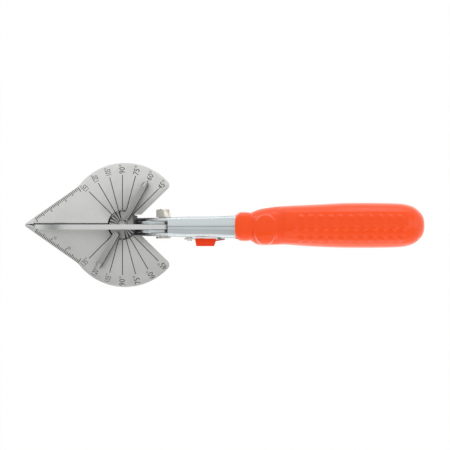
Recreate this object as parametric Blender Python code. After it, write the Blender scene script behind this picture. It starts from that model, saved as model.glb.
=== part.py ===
"""Mitre shears: a hand tool that cuts trim strips at a set angle on a graduated table.

Frame: +X from the blade tip to the handle ends, +Y to the side of the pivot nut, +Z up.
The origin is on the floor under the middle of the tool's length, on the table's centre line.
"""

import math

import bmesh
import bpy
from mathutils import Matrix, Vector

MM = 0.001

# Gaps shared by all pieces
FIT_GAP = 0.3 * MM
CUT_OVERRUN = 1.5 * MM
SMOOTH_ANGLE = math.radians(32)

# Lengths along the tool, from the main pivot
TIP_TO_PIVOT = 79.5 * MM
PIVOT_TO_TAIL = 144.5 * MM
PIVOT_TO_GRIP = 40.2 * MM
PIVOT_X = (TIP_TO_PIVOT - PIVOT_TO_TAIL) / 2
TIP_X = PIVOT_X - TIP_TO_PIVOT
GRIP_X = PIVOT_X + PIVOT_TO_GRIP

# Heights, stacked up from the floor
KNOB_HEIGHT = 8.4 * MM
WASHER_THICK = 1.0 * MM
JAW_HEIGHT = 6.4 * MM
BRACKET_THICK = 3.0 * MM
TABLE_THICK = 2.0 * MM
PIVOT_ABOVE_TABLE = 8.0 * MM
WASHER_Z = KNOB_HEIGHT + FIT_GAP
JAW_Z = WASHER_Z + WASHER_THICK + FIT_GAP
JAW_TOP_Z = JAW_Z + JAW_HEIGHT
BRACKET_Z = JAW_TOP_Z + FIT_GAP
BRACKET_TOP_Z = BRACKET_Z + BRACKET_THICK
TABLE_Z = BRACKET_TOP_Z + FIT_GAP
TABLE_TOP_Z = TABLE_Z + TABLE_THICK
PIVOT_Z = TABLE_TOP_Z + PIVOT_ABOVE_TABLE

# Widths, stacked out from the middle of the blade
BLADE_THICK = 2.8 * MM
BLADE_FLAT_Y = 0.3 * MM
BLADE_SIDE_GAP = 0.25 * MM
SHEET = 1.6 * MM
CHANNEL_FLARE = 0.6 * MM
MOUTH_FLARE = 1.2 * MM
MID_Y = BLADE_FLAT_Y - BLADE_THICK / 2
INNER_WALL_IN = BLADE_THICK / 2 + BLADE_SIDE_GAP
INNER_WALL_OUT = INNER_WALL_IN + SHEET
OUTER_WALL_IN = INNER_WALL_OUT + FIT_GAP
OUTER_WALL_OUT = OUTER_WALL_IN + SHEET
CHANNEL_HALF_WIDTH = OUTER_WALL_OUT + CHANNEL_FLARE

# Table halves
SLOT_WIDTH = 1.2 * MM
LOBE_RADIUS = 33.4 * MM
LOBE_SHIFT = 2.06 * MM
LOBE_BEHIND_HUB = 1.5 * MM
WAIST_FILLET = 16.0 * MM
REAR_CORNER_RADIUS = 2.9 * MM
REAR_ANGLE = math.radians(44.2)
REAR_NOTCH_HALF = 5.94 * MM
REAR_NOTCH_LENGTH = 10.7 * MM
HUB_HOLE_RADIUS = 8.5 * MM
TABLE_SCREW_DEPTH = 1.2 * MM
# Where the ruler edge's line passes the lobe's centre (of LOBE_RADIUS)
RULER_LINE_SHARE = 0.9515

# Hub, index disc and fence
HUB_TO_PIVOT = 23.8 * MM
HUB_X = PIVOT_X - HUB_TO_PIVOT
FENCE_ANGLE = math.radians(60)
DISC_RADIUS = 8.0 * MM
DISC_SCREW_RADIUS = 2.0 * MM
DISC_SCREW_HEAD_RADIUS = 2.9 * MM
DISC_SCREW_HEAD = 1.5 * MM
DISC_SCREW_SINK = 0.3 * MM
DISC_SCREW_REACH = 5.4 * MM
GROOVE_START_RADIUS = 4.2 * MM
GROOVE_DEPTH = 0.9 * MM
GROOVE_STEP_ANGLE = math.radians(15)
GROOVE_COUNT = 6
FIRST_GROOVE_ANGLE = math.radians(45)
ARM_WIDTH = 3.2 * MM
ARM_HEIGHT = 8.6 * MM
ARM_END_TO_LOBE_EDGE = 5.4 * MM
ARM_LENGTH = LOBE_RADIUS - ARM_END_TO_LOBE_EDGE
ARM_ROOT_NEAR = 3.4 * MM
ARM_ROOT_FAR = 4.9 * MM
ARM_SCREW_AT = 6.3 * MM
ARM_SCREW_RADIUS = 0.7 * MM
ARM_SCREW_HEAD_RADIUS = 1.15 * MM
ARM_SCREW_HEAD = 1.0 * MM
ARM_SCREW_REACH = 3.6 * MM

# Clamp knob under the hub
KNOB_RADIUS = 9.0 * MM
KNOB_FLUTE = 0.7 * MM
KNOB_FLUTES = 20
KNOB_CHAMFER = 1.0 * MM
KNOB_FLOOR = 2.2 * MM
INSERT_FLATS = 7.0 * MM
WASHER_RADIUS = 6.5 * MM

# Table bracket and its fasteners
BRACKET_OVERHANG = 1.8 * MM
BRACKET_REAR = 8.4 * MM
BRACKET_HALF_WIDTH = 20.0 * MM
BRACKET_NOSE_HALF_WIDTH = 8.0 * MM
BRACKET_PROW_TO_TIP = 2.5 * MM
BRACKET_PROW_HALF_WIDTHS = (1.4 * MM, 3.0 * MM)
TABLE_SCREW_RADIUS = 1.25 * MM
TABLE_SCREW_HEAD_RADIUS = 2.6 * MM
TABLE_SCREW_HEAD = 1.5 * MM
TABLE_SCREW_FRONT = 15.0 * MM
TABLE_SCREW_FRONT_Y = 10.8 * MM
TABLE_SCREW_REAR = 1.5 * MM
TABLE_SCREW_REAR_Y = 15.6 * MM
BRACKET_SCREW_RADIUS = 1.2 * MM
BRACKET_SCREW_HEAD_RADIUS = 2.3 * MM
BRACKET_SCREW_HEAD = 1.3 * MM
BRACKET_SCREW_REACH = 3.4 * MM

# Jaw of the upper lever
JAW_REACH = 49.5 * MM
JAW_NOSE = 4.0 * MM
JAW_NOSE_RISE = 2.2 * MM
JAW_TO_WALL = 12.5 * MM
JAW_BLOCK_INSET = 1.5 * MM
JAW_BLOCK_REAR = 9.4 * MM
JAW_RIVET_RADIUS = 1.5 * MM
JAW_RIVET_HEAD_RADIUS = 2.6 * MM
JAW_RIVET_HEAD = 1.1 * MM
RIVET_CROWN_SHARE = 0.62
# Places from the hub to the jaw's end (of JAW_BEYOND_HUB)
JAW_BEYOND_HUB = JAW_REACH - HUB_TO_PIVOT
JAW_RIVET_SHARES = (0.28, 0.654)
BRACKET_SCREW_SHARES = (0.467, 0.833)

# Levers
LEVER_DEPTH = 10.0 * MM
HANDLE_LIFT = 11.15 * MM
WEB_CROWN = 0.45 * MM
CORNER_RADIUS = 2.4 * MM
SEAM_GAP = 0.3 * MM
TANG_LENGTH = 47.0 * MM
TANG_STEPS = 4
WINDOW_BEHIND_PIVOT = 2.9 * MM
LOWER_WEB_BEHIND_PIVOT = 9.0 * MM

# Each row: along (of PIVOT_TO_GRIP), low edge and high edge (of LEVER_DEPTH), from the pivot
UPPER_LEVER_SHARES = (
    (-0.229, -1.80, 0.80),
    (-0.137, -1.65, 1.15),
    (0.0, -1.30, 1.34),
    (0.112, -0.95, 1.40),
    (0.311, -0.25, 1.46),
    (0.535, 0.15, 1.52),
)
LOWER_LEVER_SHARES = (
    (-0.305, -0.36, 0.50),
    (-0.285, -0.60, 0.74),
    (-0.245, -0.77, 0.90),
    (-0.137, -0.90, 1.03),
    (0.0, -1.00, 1.05),
    (0.075, -1.05, 0.92),
    (0.162, -1.11, 0.60),
    (0.311, -1.20, 0.04),
    (0.410, -1.24, 0.04),
    (0.435, -1.25, -0.18),
    (0.535, -1.29, -0.20),
)
NARROW_END_SHARE = 0.400
WIDE_START_SHARE = 0.545

# Pivot bolt
BOLT_RADIUS = 2.5 * MM
BOLT_HEAD_RADIUS = 4.2 * MM
BOLT_HEAD = 1.1 * MM
NUT_FLATS = 8.0 * MM
NUT_THICK = 4.4 * MM
NUT_CHAMFER = 0.5 * MM
BOLT_END = 0.3 * MM

# Blade
BLADE_REACH = 75.0 * MM
BLADE_HEEL = 9.4 * MM
BLADE_HEIGHT = 20.0 * MM
EDGE_DIP = 1.0 * MM
EDGE_LAND = 0.15 * MM
BEVEL_HEIGHT = 6.5 * MM
BEVEL_TO_PIVOT = 11.6 * MM
# Each row: towards the tip from the pivot (of BLADE_REACH), up from the edge (of BLADE_HEIGHT)
BLADE_NOSE_SHARES = (
    (1.0, 0.0),
    (0.994, 0.09),
    (0.976, 0.21),
    (0.945, 0.33),
    (0.900, 0.45),
    (0.845, 0.55),
    (0.780, 0.62),
    (0.705, 0.66),
    (0.153, 0.93),
)
# Each row: back from the pivot (of BLADE_HEEL), up from the edge (of BLADE_HEIGHT)
BLADE_HEEL_SHARES = (
    (0.08, 1.0),
    (0.44, 0.94),
    (0.74, 0.76),
    (1.0, 0.50),
    (1.0, 0.22),
    (0.68, 0.02),
    (-0.64, 0.0),
)
BLADE_RIVET_RADIUS = 1.5 * MM
# Each row: along (of PIVOT_TO_GRIP) and up (of LEVER_DEPTH), from the pivot
BLADE_RIVET_SHARES = ((-0.175, 0.30), (0.165, -0.10))

# Grips
GRIP_HALF_WIDTH = 12.4 * MM
GRIP_HALF_HEIGHT = 12.2 * MM
GRIP_RISE = 9.5 * MM
GRIP_SIDES = 20
COLLAR_SQUARENESS = 3.2
BODY_SQUARENESS = 2.35
COLLAR_END_SHARE = 0.10
BODY_START_SHARE = 0.27
# Each row: along (of the grip's length), half width and side shift (of GRIP_HALF_WIDTH),
# half height (of GRIP_HALF_HEIGHT), rise of the centre (of GRIP_RISE)
GRIP_SHARES = (
    (0.000, 0.613, 0.024, 0.735, 0.000),
    (0.010, 0.640, 0.024, 0.757, 0.018),
    (0.030, 0.655, 0.024, 0.770, 0.050),
    (0.083, 0.652, 0.024, 0.766, 0.140),
    (0.112, 0.745, -0.010, 0.800, 0.190),
    (0.142, 0.812, 0.002, 0.842, 0.250),
    (0.175, 0.838, 0.022, 0.850, 0.310),
    (0.219, 0.850, 0.058, 0.836, 0.390),
    (0.271, 0.866, 0.070, 0.877, 0.490),
    (0.334, 0.898, 0.068, 0.918, 0.600),
    (0.419, 0.937, 0.062, 0.959, 0.730),
    (0.501, 0.968, 0.065, 0.984, 0.840),
    (0.588, 0.996, 0.073, 1.000, 0.930),
    (0.693, 1.000, 0.073, 1.000, 0.985),
    (0.789, 0.992, 0.073, 0.992, 1.000),
    (0.875, 0.964, 0.073, 0.951, 1.000),
    (0.926, 0.879, 0.073, 0.852, 0.990),
    (0.955, 0.758, 0.073, 0.730, 0.980),
    (0.971, 0.645, 0.073, 0.623, 0.975),
    (0.987, 0.500, 0.073, 0.475, 0.970),
    (0.996, 0.347, 0.073, 0.328, 0.970),
    (1.000, 0.210, 0.073, 0.197, 0.970),
)

# Stop pin, along (of PIVOT_TO_GRIP)
STOP_PIN_RADIUS = 1.5 * MM
STOP_PIN_SHARE = 0.362
STOP_PIN_HEAD_RADIUS = 2.3 * MM
STOP_PIN_HEAD = 0.8 * MM

# Return spring and its seats
SPRING_SHARE = 0.66
SPRING_RADIUS = 3.2 * MM
SPRING_WIRE = 1.1 * MM
SPRING_TURNS = 7
SPRING_POINTS_PER_TURN = 9
SPRING_END_TURN = 0.75
SEAT_RADIUS = 3.6 * MM
SEAT_THICK = 1.4 * MM
SEAT_PEG_RADIUS = 2.0 * MM
SEAT_PEG_HEIGHT = 4.0 * MM

# Safety latch
LATCH_SHARE = 0.373
LATCH_ABOVE_PIVOT = 8.6 * MM
LATCH_THICK = 0.7 * MM
LATCH_STANDOFF = 0.35 * MM
LATCH_RIVET_RADIUS = 1.3 * MM
LATCH_RIVET_HEAD_RADIUS = 2.1 * MM
LATCH_RIVET_HEAD = 0.5 * MM
LATCH_TAIL = 19.8 * MM
LATCH_EYE_RADIUS = 2.9 * MM
LATCH_SWING_ANGLE = math.radians(30)
EYE_END_ANGLE = math.radians(243)
# Edge of the strip: along (of LATCH_TAIL), up (of LATCH_EYE_RADIUS), from the eye
ARM_FRONT_SHARES = (0.073, -1.0)
STRIP_EDGE_SHARES = ((0.42, -1.2), (0.72, -0.9), (1.0, 0.0), (0.8, 1.0))
CATCH_PIN_RADIUS = 1.2 * MM
CATCH_PIN_SHARE = 0.784
CATCH_PIN_BELOW_PIVOT = 6.4 * MM
CATCH_PIN_HEAD_RADIUS = 1.9 * MM
CATCH_PIN_HEAD = 0.8 * MM
HOOK_WALL = 2.6 * MM
HOOK_LIP = 0.6 * MM
TAB_START = 3.2 * MM
TAB_LENGTH = 11.7 * MM
TAB_HEIGHT = 8.6 * MM
TAB_STAND = 3.3 * MM
TAB_TAPER = 1.2 * MM
TAB_LIP = 1.3 * MM


def material(name, colour, roughness, metallic):
    """A Principled material with the piece's own colour and finish."""
    made = bpy.data.materials.new(name)
    made.use_nodes = True
    shader = made.node_tree.nodes["Principled BSDF"]
    shader.inputs["Base Color"].default_value = (*colour, 1.0)
    shader.inputs["Roughness"].default_value = roughness
    shader.inputs["Metallic"].default_value = metallic
    return made


def finish(bm, name, surface):
    """Turns a bmesh into a named object whose faces point out."""
    bmesh.ops.recalc_face_normals(bm, faces=bm.faces[:])
    mesh = bpy.data.meshes.new(name)
    bm.to_mesh(mesh)
    bm.free()
    mesh.shade_smooth()
    mesh.set_sharp_from_angle(angle=SMOOTH_ANGLE)
    piece = bpy.data.objects.new(name, mesh)
    bpy.context.collection.objects.link(piece)
    if surface is not None:
        mesh.materials.append(surface)
    return piece


def as_cutter(piece):
    """Marks a piece as a cutting shape that isn't part of the tool."""
    piece.hide_render = True
    piece.display_type = "WIRE"
    return piece


def cut(piece, cutter):
    """Cuts a shape out of a piece."""
    change = piece.modifiers.new("cut " + cutter.name, "BOOLEAN")
    change.operation = "DIFFERENCE"
    change.solver = "EXACT"
    change.object = cutter


def carry(piece, pivot):
    """Parents a piece to an empty on its joint, and keeps the piece where it is."""
    place = pivot.matrix_world.inverted()
    piece.data.transform(place)
    piece.parent = pivot


def empty(name, place, turn=0.0):
    """An empty on a joint's axis, turned about Z."""
    made = bpy.data.objects.new(name, None)
    made.location = place
    made.rotation_euler = (0.0, 0.0, turn)
    bpy.context.collection.objects.link(made)
    bpy.context.view_layer.update()
    return made


def arc(centre, radius, start, end, steps):
    """Points along an arc, both ends included."""
    points = []
    for step in range(steps + 1):
        angle = start + (end - start) * step / steps
        points.append((centre[0] + radius * math.cos(angle), centre[1] + radius * math.sin(angle)))
    return points


def add_loft(bm, rings):
    """Adds a closed skin over rings of points, with flat ends."""
    loops = [[bm.verts.new(point) for point in ring] for ring in rings]
    count = len(loops[0])
    for first, second in zip(loops, loops[1:]):
        for i in range(count):
            j = (i + 1) % count
            bm.faces.new((first[i], first[j], second[j], second[i]))
    bm.faces.new(list(reversed(loops[0])))
    bm.faces.new(loops[-1])


def loft(name, rings, surface):
    bm = bmesh.new()
    add_loft(bm, rings)
    return finish(bm, name, surface)


def plate(name, outline, low, high, surface):
    """An outline in the XY plane, extruded up."""
    rings = [[(x, y, z) for x, y in outline] for z in (low, high)]
    return loft(name, rings, surface)


def side_plate(name, outline, y_low, y_high, surface):
    """An outline in the XZ plane, extruded along Y."""
    rings = [[(x, y, z) for x, z in outline] for y in (y_low, y_high)]
    return loft(name, rings, surface)


def turned_rings(profile, centre, axis, sides):
    """Rings of a turned piece: profile rows are (radius, height along the axis)."""
    turn = Vector((0.0, 0.0, 1.0)).rotation_difference(Vector(axis)).to_matrix()
    rings = []
    for radius, height in profile:
        ring = []
        for i in range(sides):
            angle = math.tau * i / sides
            spoke = Vector((radius * math.cos(angle), radius * math.sin(angle), height))
            ring.append(Vector(centre) + turn @ spoke)
        rings.append(ring)
    return rings


ALONG_Y = (0.0, 1.0, 0.0)
ALONG_Z = (0.0, 0.0, 1.0)


def turned(name, profile, centre, axis, surface, sides=20):
    return loft(name, turned_rings(profile, centre, axis, sides), surface)


def holes(name, places, radius, low, high, axis, sides=20):
    """One cutter with a round rod for each place."""
    bm = bmesh.new()
    for place in places:
        add_loft(bm, turned_rings(((radius, low), (radius, high)), place, axis, sides))
    return as_cutter(finish(bm, name, None))


def hex_corner(flats):
    """Radius of a hexagon's corners from its width across flats."""
    return flats / math.sqrt(3)


def box_cutter(name, x_range, y_range, z_range):
    outline = [(x_range[0], y_range[0]), (x_range[1], y_range[0]),
               (x_range[1], y_range[1]), (x_range[0], y_range[1])]
    return as_cutter(plate(name, outline, z_range[0], z_range[1], None))


def headed(radius, head_radius, head, length):
    """Profile of a headed pin, head first: a head from 0 to head, a shank to length."""
    return ((head_radius, 0.0), (head_radius, head), (radius, head), (radius, length))


def blend_between(start, end, value):
    """0 before start, 1 after end, and an even slope between them."""
    return min(max((value - start) / (end - start), 0.0), 1.0)


def read_rows(rows, along, column):
    """Value of a table's column between its rows, at a place along the first column."""
    if along <= rows[0][0]:
        return rows[0][column]
    for before, after in zip(rows, rows[1:]):
        if along <= after[0]:
            part = (along - before[0]) / (after[0] - before[0])
            return before[column] + (after[column] - before[column]) * part
    return rows[-1][column]


# Grip shape, shared with the levers that it sits on
GRIP_LENGTH = PIVOT_X + PIVOT_TO_TAIL - GRIP_X
GRIP_FRONT_Z = PIVOT_Z + HANDLE_LIFT
GRIP_TOP_Z = GRIP_FRONT_Z + max(rise * GRIP_RISE + height * GRIP_HALF_HEIGHT
                                for _, _, _, height, rise in GRIP_SHARES)


def grip_centre_z(x, upper):
    """Height of a grip's centre line: the lower grip mirrors the upper one."""
    rise = read_rows(GRIP_SHARES, (x - GRIP_X) / GRIP_LENGTH, 4) * GRIP_RISE
    if upper:
        return GRIP_FRONT_Z + rise
    return GRIP_TOP_Z - GRIP_FRONT_Z - rise


def grip_rings(upper):
    rings = []
    for along, width, shift, height, _ in GRIP_SHARES:
        x = GRIP_X + along * GRIP_LENGTH
        y = MID_Y + shift * GRIP_HALF_WIDTH
        z = grip_centre_z(x, upper)
        body = blend_between(COLLAR_END_SHARE, BODY_START_SHARE, along)
        power = 2.0 / (COLLAR_SQUARENESS + (BODY_SQUARENESS - COLLAR_SQUARENESS) * body)
        ring = []
        for i in range(GRIP_SIDES):
            angle = math.tau * i / GRIP_SIDES
            side, up = math.cos(angle), math.sin(angle)
            ring.append((x,
                         y + width * GRIP_HALF_WIDTH * math.copysign(abs(side) ** power, side),
                         z + height * GRIP_HALF_HEIGHT * math.copysign(abs(up) ** power, up)))
        rings.append(ring)
    return rings


def lever_edges(x, upper):
    """Low and high edge of a lever's sheet at a place behind the jaw."""
    rows = UPPER_LEVER_SHARES if upper else LOWER_LEVER_SHARES
    if x >= GRIP_X:
        centre = grip_centre_z(x, upper)
        return centre - LEVER_DEPTH / 2, centre + LEVER_DEPTH / 2
    mouth_low = grip_centre_z(GRIP_X, upper) - LEVER_DEPTH / 2 - PIVOT_Z
    mouth = (1.0, mouth_low / LEVER_DEPTH, mouth_low / LEVER_DEPTH + 1.0)
    rows = rows + (mouth,)
    along = (x - PIVOT_X) / PIVOT_TO_GRIP
    return (PIVOT_Z + read_rows(rows, along, 1) * LEVER_DEPTH,
            PIVOT_Z + read_rows(rows, along, 2) * LEVER_DEPTH)


def lever_half_width(x, upper):
    """Outer half width of a lever's sheet."""
    along = (x - PIVOT_X) / PIVOT_TO_GRIP
    to_mouth = blend_between(WIDE_START_SHARE, 1.0, along) ** 2
    if upper:
        to_channel = blend_between(0.0, UPPER_LEVER_SHARES[4][0], along)
        return (OUTER_WALL_OUT + CHANNEL_FLARE * to_channel
                + (MOUTH_FLARE - CHANNEL_FLARE) * to_mouth)
    to_channel = blend_between(NARROW_END_SHARE, WIDE_START_SHARE, along)
    narrow_to_wide = (CHANNEL_HALF_WIDTH - INNER_WALL_OUT) * to_channel
    return INNER_WALL_OUT + narrow_to_wide + (MOUTH_FLARE - CHANNEL_FLARE) * to_mouth


def shell_ring(x, side, upper, low, high):
    """Section of one pressed shell: half a web and one wall, open to the other lever."""
    half = lever_half_width(x, upper)
    seam = SEAM_GAP / 2
    inner_radius = CORNER_RADIUS - SHEET
    turn_y = half - CORNER_RADIUS
    # heights are measured down from the web's outer face
    outer = [(seam, 0.0)]
    outer += [(turn_y + CORNER_RADIUS * math.sin(a),
               WEB_CROWN + CORNER_RADIUS * (1.0 - math.cos(a)))
              for a in (0.0, math.pi / 6, math.pi / 3, math.pi / 2)]
    outer.append((half, high - low))
    inner = [(half - SHEET, high - low)]
    inner += [(turn_y + inner_radius * math.sin(a),
               WEB_CROWN + CORNER_RADIUS - inner_radius * math.cos(a))
              for a in (math.pi / 2, math.pi / 4, 0.0)]
    inner.append((seam, SHEET))
    ring = []
    for out, down in outer + inner:
        z = high - down if upper else low + down
        ring.append((x, MID_Y + side * out, z))
    return ring


# Finishes
STEEL_PLATE = material("table_steel", (0.50, 0.49, 0.47), 0.42, 1.0)
STEEL_SHEET = material("lever_steel", (0.60, 0.63, 0.65), 0.35, 1.0)
STEEL_BLADE = material("blade_steel", (0.58, 0.59, 0.59), 0.28, 1.0)
STEEL_BRIGHT = material("fastener_steel", (0.62, 0.58, 0.52), 0.30, 1.0)
STEEL_DARK = material("dark_steel", (0.22, 0.22, 0.23), 0.40, 1.0)
GRIP_PLASTIC = material("grip_plastic", (0.95, 0.09, 0.01), 0.35, 0.0)
LATCH_PLASTIC = material("latch_plastic", (0.75, 0.03, 0.02), 0.40, 0.0)
KNOB_PLASTIC = material("knob_plastic", (0.03, 0.03, 0.03), 0.50, 0.0)


def fillet_to_arc(line_point, line_angle, normal_side, centre, radius, fillet, outside):
    """A fillet between a straight edge and an arc: its centre and both ends' angles."""
    along = Vector((math.cos(line_angle), math.sin(line_angle)))
    normal = Vector((-along.y, along.x)) * normal_side
    reach = radius + fillet if outside else radius - fillet
    start = Vector(line_point) + normal * fillet - Vector(centre)
    middle = start.dot(along)
    span = math.sqrt(middle * middle - start.length_squared + reach * reach)
    step = -middle - span if outside else -middle + span
    fillet_centre = Vector(centre) + start + along * step
    to_line = -normal
    to_arc = (fillet_centre - Vector(centre)) * (-1.0 if outside else 1.0)
    return (fillet_centre, math.atan2(to_line.y, to_line.x), math.atan2(to_arc.y, to_arc.x))


def table_outline():
    """Outline of the table half on the +Y side, from the tip round the lobe to the hub."""
    slot = SLOT_WIDTH / 2
    lobe = (HUB_X + LOBE_BEHIND_HUB, LOBE_SHIFT)
    notch = (HUB_X + REAR_NOTCH_LENGTH, REAR_NOTCH_HALF)
    to_lobe = Vector(lobe) - Vector((TIP_X, slot))
    ruler_angle = (math.atan2(to_lobe.y, to_lobe.x)
                   + math.asin(LOBE_RADIUS * RULER_LINE_SHARE / to_lobe.length))
    waist, waist_line, waist_lobe = fillet_to_arc(
        (TIP_X, slot), ruler_angle, 1.0, lobe, LOBE_RADIUS, WAIST_FILLET, True)
    rear, rear_line, rear_lobe = fillet_to_arc(
        notch, REAR_ANGLE, 1.0, lobe, LOBE_RADIUS, REAR_CORNER_RADIUS, False)
    lobe_start = math.atan2(waist.y - lobe[1], waist.x - lobe[0])
    hub_start = math.asin(REAR_NOTCH_HALF / HUB_HOLE_RADIUS)
    hub_end = math.pi - math.asin(slot / HUB_HOLE_RADIUS)
    outline = [(TIP_X, slot)]
    outline += arc(waist, WAIST_FILLET, waist_line, waist_lobe, 4)
    outline += arc(lobe, LOBE_RADIUS, lobe_start, rear_lobe, 26)[1:]
    outline += arc(rear, REAR_CORNER_RADIUS, rear_lobe, rear_line, 4)[1:]
    outline.append(notch)
    outline += arc((HUB_X, 0.0), HUB_HOLE_RADIUS, hub_start, hub_end, 14)
    return outline


def table_screw_places(side):
    return [(HUB_X - TABLE_SCREW_FRONT, side * TABLE_SCREW_FRONT_Y),
            (HUB_X - TABLE_SCREW_REAR, side * TABLE_SCREW_REAR_Y)]


def make_table():
    screw_end = TABLE_Z + TABLE_SCREW_DEPTH
    number = 0
    for side, name in ((1.0, "table_half_left"), (-1.0, "table_half_right")):
        outline = [(x, side * y) for x, y in table_outline()]
        half = plate(name, outline, TABLE_Z, TABLE_TOP_Z, STEEL_PLATE)
        places = [(x, y, 0.0) for x, y in table_screw_places(side)]
        cut(half, holes(name + "_holes", places, TABLE_SCREW_RADIUS + FIT_GAP,
                        TABLE_Z - CUT_OVERRUN, screw_end + FIT_GAP, ALONG_Z, 12))
        for x, y in table_screw_places(side):
            number += 1
            profile = headed(TABLE_SCREW_RADIUS, TABLE_SCREW_HEAD_RADIUS, TABLE_SCREW_HEAD,
                             screw_end - BRACKET_Z + FIT_GAP + TABLE_SCREW_HEAD)
            turned("table_screw_%d" % number, profile,
                   (x, y, BRACKET_Z - FIT_GAP - TABLE_SCREW_HEAD), ALONG_Z, STEEL_BRIGHT, 12)


def make_bracket():
    """The plate that joins both table halves to the jaw: a prow under the slot closes it from
    below as far as the tip, and a cradle at the back holds the index disc."""
    prow = TIP_X + BRACKET_PROW_TO_TIP
    front = HUB_X - JAW_BEYOND_HUB - BRACKET_OVERHANG
    rear = HUB_X + BRACKET_REAR
    shoulder = HUB_X - DISC_RADIUS - FIT_GAP
    right = [(prow, 0.0), (prow, BRACKET_PROW_HALF_WIDTHS[0]), (front, BRACKET_PROW_HALF_WIDTHS[1]),
             (front, BRACKET_NOSE_HALF_WIDTH), (shoulder, BRACKET_HALF_WIDTH),
             (rear, BRACKET_HALF_WIDTH), (rear, REAR_NOTCH_HALF)]
    cradle_radius = DISC_RADIUS + FIT_GAP
    start = math.asin(REAR_NOTCH_HALF / cradle_radius)
    right += arc((HUB_X, 0.0), cradle_radius, start, math.pi, 16)
    left = [(x, -y) for x, y in reversed(right[1:-1])]
    bracket = plate("table_bracket", right + left, BRACKET_Z, BRACKET_TOP_Z, STEEL_DARK)
    places = [(x, y, 0.0) for side in (1.0, -1.0) for x, y in table_screw_places(side)]
    cut(bracket, holes("bracket_table_holes", places, TABLE_SCREW_RADIUS + FIT_GAP,
                       BRACKET_Z - CUT_OVERRUN, BRACKET_TOP_Z + CUT_OVERRUN, ALONG_Z, 12))
    screws = [(HUB_X - along * JAW_BEYOND_HUB, MID_Y, 0.0) for along in BRACKET_SCREW_SHARES]
    head_z = BRACKET_TOP_Z - BRACKET_SCREW_HEAD
    cut(bracket, holes("bracket_jaw_holes", screws, BRACKET_SCREW_RADIUS + FIT_GAP,
                       BRACKET_Z - CUT_OVERRUN, BRACKET_TOP_Z + CUT_OVERRUN, ALONG_Z, 12))
    cut(bracket, holes("bracket_head_sinks", screws, BRACKET_SCREW_HEAD_RADIUS + FIT_GAP,
                       head_z - FIT_GAP, BRACKET_TOP_Z + CUT_OVERRUN, ALONG_Z, 12))
    for number, (x, y, _) in enumerate(screws, 1):
        length = BRACKET_TOP_Z - JAW_TOP_Z + BRACKET_SCREW_REACH
        turned("bracket_screw_%d" % number,
               headed(BRACKET_SCREW_RADIUS, BRACKET_SCREW_HEAD_RADIUS, BRACKET_SCREW_HEAD, length),
               (x, y, BRACKET_TOP_Z), (0.0, 0.0, -1.0), STEEL_BRIGHT, 12)
    return screws


def make_jaw_block(bracket_screws):
    """The block between the jaw's walls, and the rivets through both."""
    x_front = PIVOT_X - JAW_REACH + JAW_BLOCK_INSET
    x_rear = PIVOT_X - JAW_BLOCK_REAR
    half = OUTER_WALL_IN - FIT_GAP
    outline = [(x_front, MID_Y - half), (x_rear, MID_Y - half),
               (x_rear, MID_Y + half), (x_front, MID_Y + half)]
    block = plate("jaw_block", outline, JAW_Z + FIT_GAP, JAW_TOP_Z, STEEL_DARK)
    cut(block, holes("block_hub_hole", [(HUB_X, 0.0, 0.0)], DISC_SCREW_RADIUS + FIT_GAP,
                     JAW_Z - CUT_OVERRUN, JAW_TOP_Z + CUT_OVERRUN, ALONG_Z))
    cut(block, holes("block_screw_holes", bracket_screws, BRACKET_SCREW_RADIUS + FIT_GAP,
                     JAW_TOP_Z - BRACKET_SCREW_REACH - FIT_GAP, JAW_TOP_Z + CUT_OVERRUN,
                     ALONG_Z, 12))
    rivet_z = JAW_Z + JAW_HEIGHT / 2
    places = [(HUB_X - along * JAW_BEYOND_HUB, MID_Y, rivet_z) for along in JAW_RIVET_SHARES]
    rivet_holes = holes("jaw_rivet_holes", places, JAW_RIVET_RADIUS + FIT_GAP,
                        -OUTER_WALL_OUT - CUT_OVERRUN, OUTER_WALL_OUT + CUT_OVERRUN, ALONG_Y, 12)
    cut(block, rivet_holes)
    reach = OUTER_WALL_OUT + FIT_GAP
    crown = JAW_RIVET_HEAD_RADIUS * RIVET_CROWN_SHARE
    profile = ((crown, -reach - JAW_RIVET_HEAD), (JAW_RIVET_HEAD_RADIUS, -reach),
               (JAW_RIVET_RADIUS, -reach), (JAW_RIVET_RADIUS, reach),
               (JAW_RIVET_HEAD_RADIUS, reach), (crown, reach + JAW_RIVET_HEAD))
    for number, place in enumerate(places, 1):
        turned("jaw_rivet_%d" % number, profile, place, ALONG_Y, STEEL_BRIGHT, 12)
    return rivet_holes


def upper_rings(side):
    """Stations of an upper shell: the jaw first, then the walls and the channel to the tang."""
    jaw_x = PIVOT_X - JAW_REACH
    stations = [(jaw_x, JAW_Z + JAW_NOSE_RISE, JAW_TOP_Z),
                (jaw_x + JAW_NOSE, JAW_Z, JAW_TOP_Z),
                (PIVOT_X - JAW_TO_WALL, JAW_Z, JAW_TOP_Z)]
    along = [PIVOT_X + row[0] * PIVOT_TO_GRIP for row in UPPER_LEVER_SHARES]
    along += [GRIP_X - (GRIP_X - along[-1]) / 2, GRIP_X]
    along += [GRIP_X + TANG_LENGTH * step / TANG_STEPS for step in range(1, TANG_STEPS + 1)]
    stations += [(x, *lever_edges(x, True)) for x in along]
    return [shell_ring(x, side, True, low, high) for x, low, high in stations]


def lower_rings(side):
    along = [PIVOT_X + row[0] * PIVOT_TO_GRIP for row in LOWER_LEVER_SHARES]
    along += [GRIP_X - (GRIP_X - along[-1]) / 2, GRIP_X]
    along += [GRIP_X + TANG_LENGTH * step / TANG_STEPS for step in range(1, TANG_STEPS + 1)]
    return [shell_ring(x, side, False, *lever_edges(x, False)) for x in along]


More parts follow.
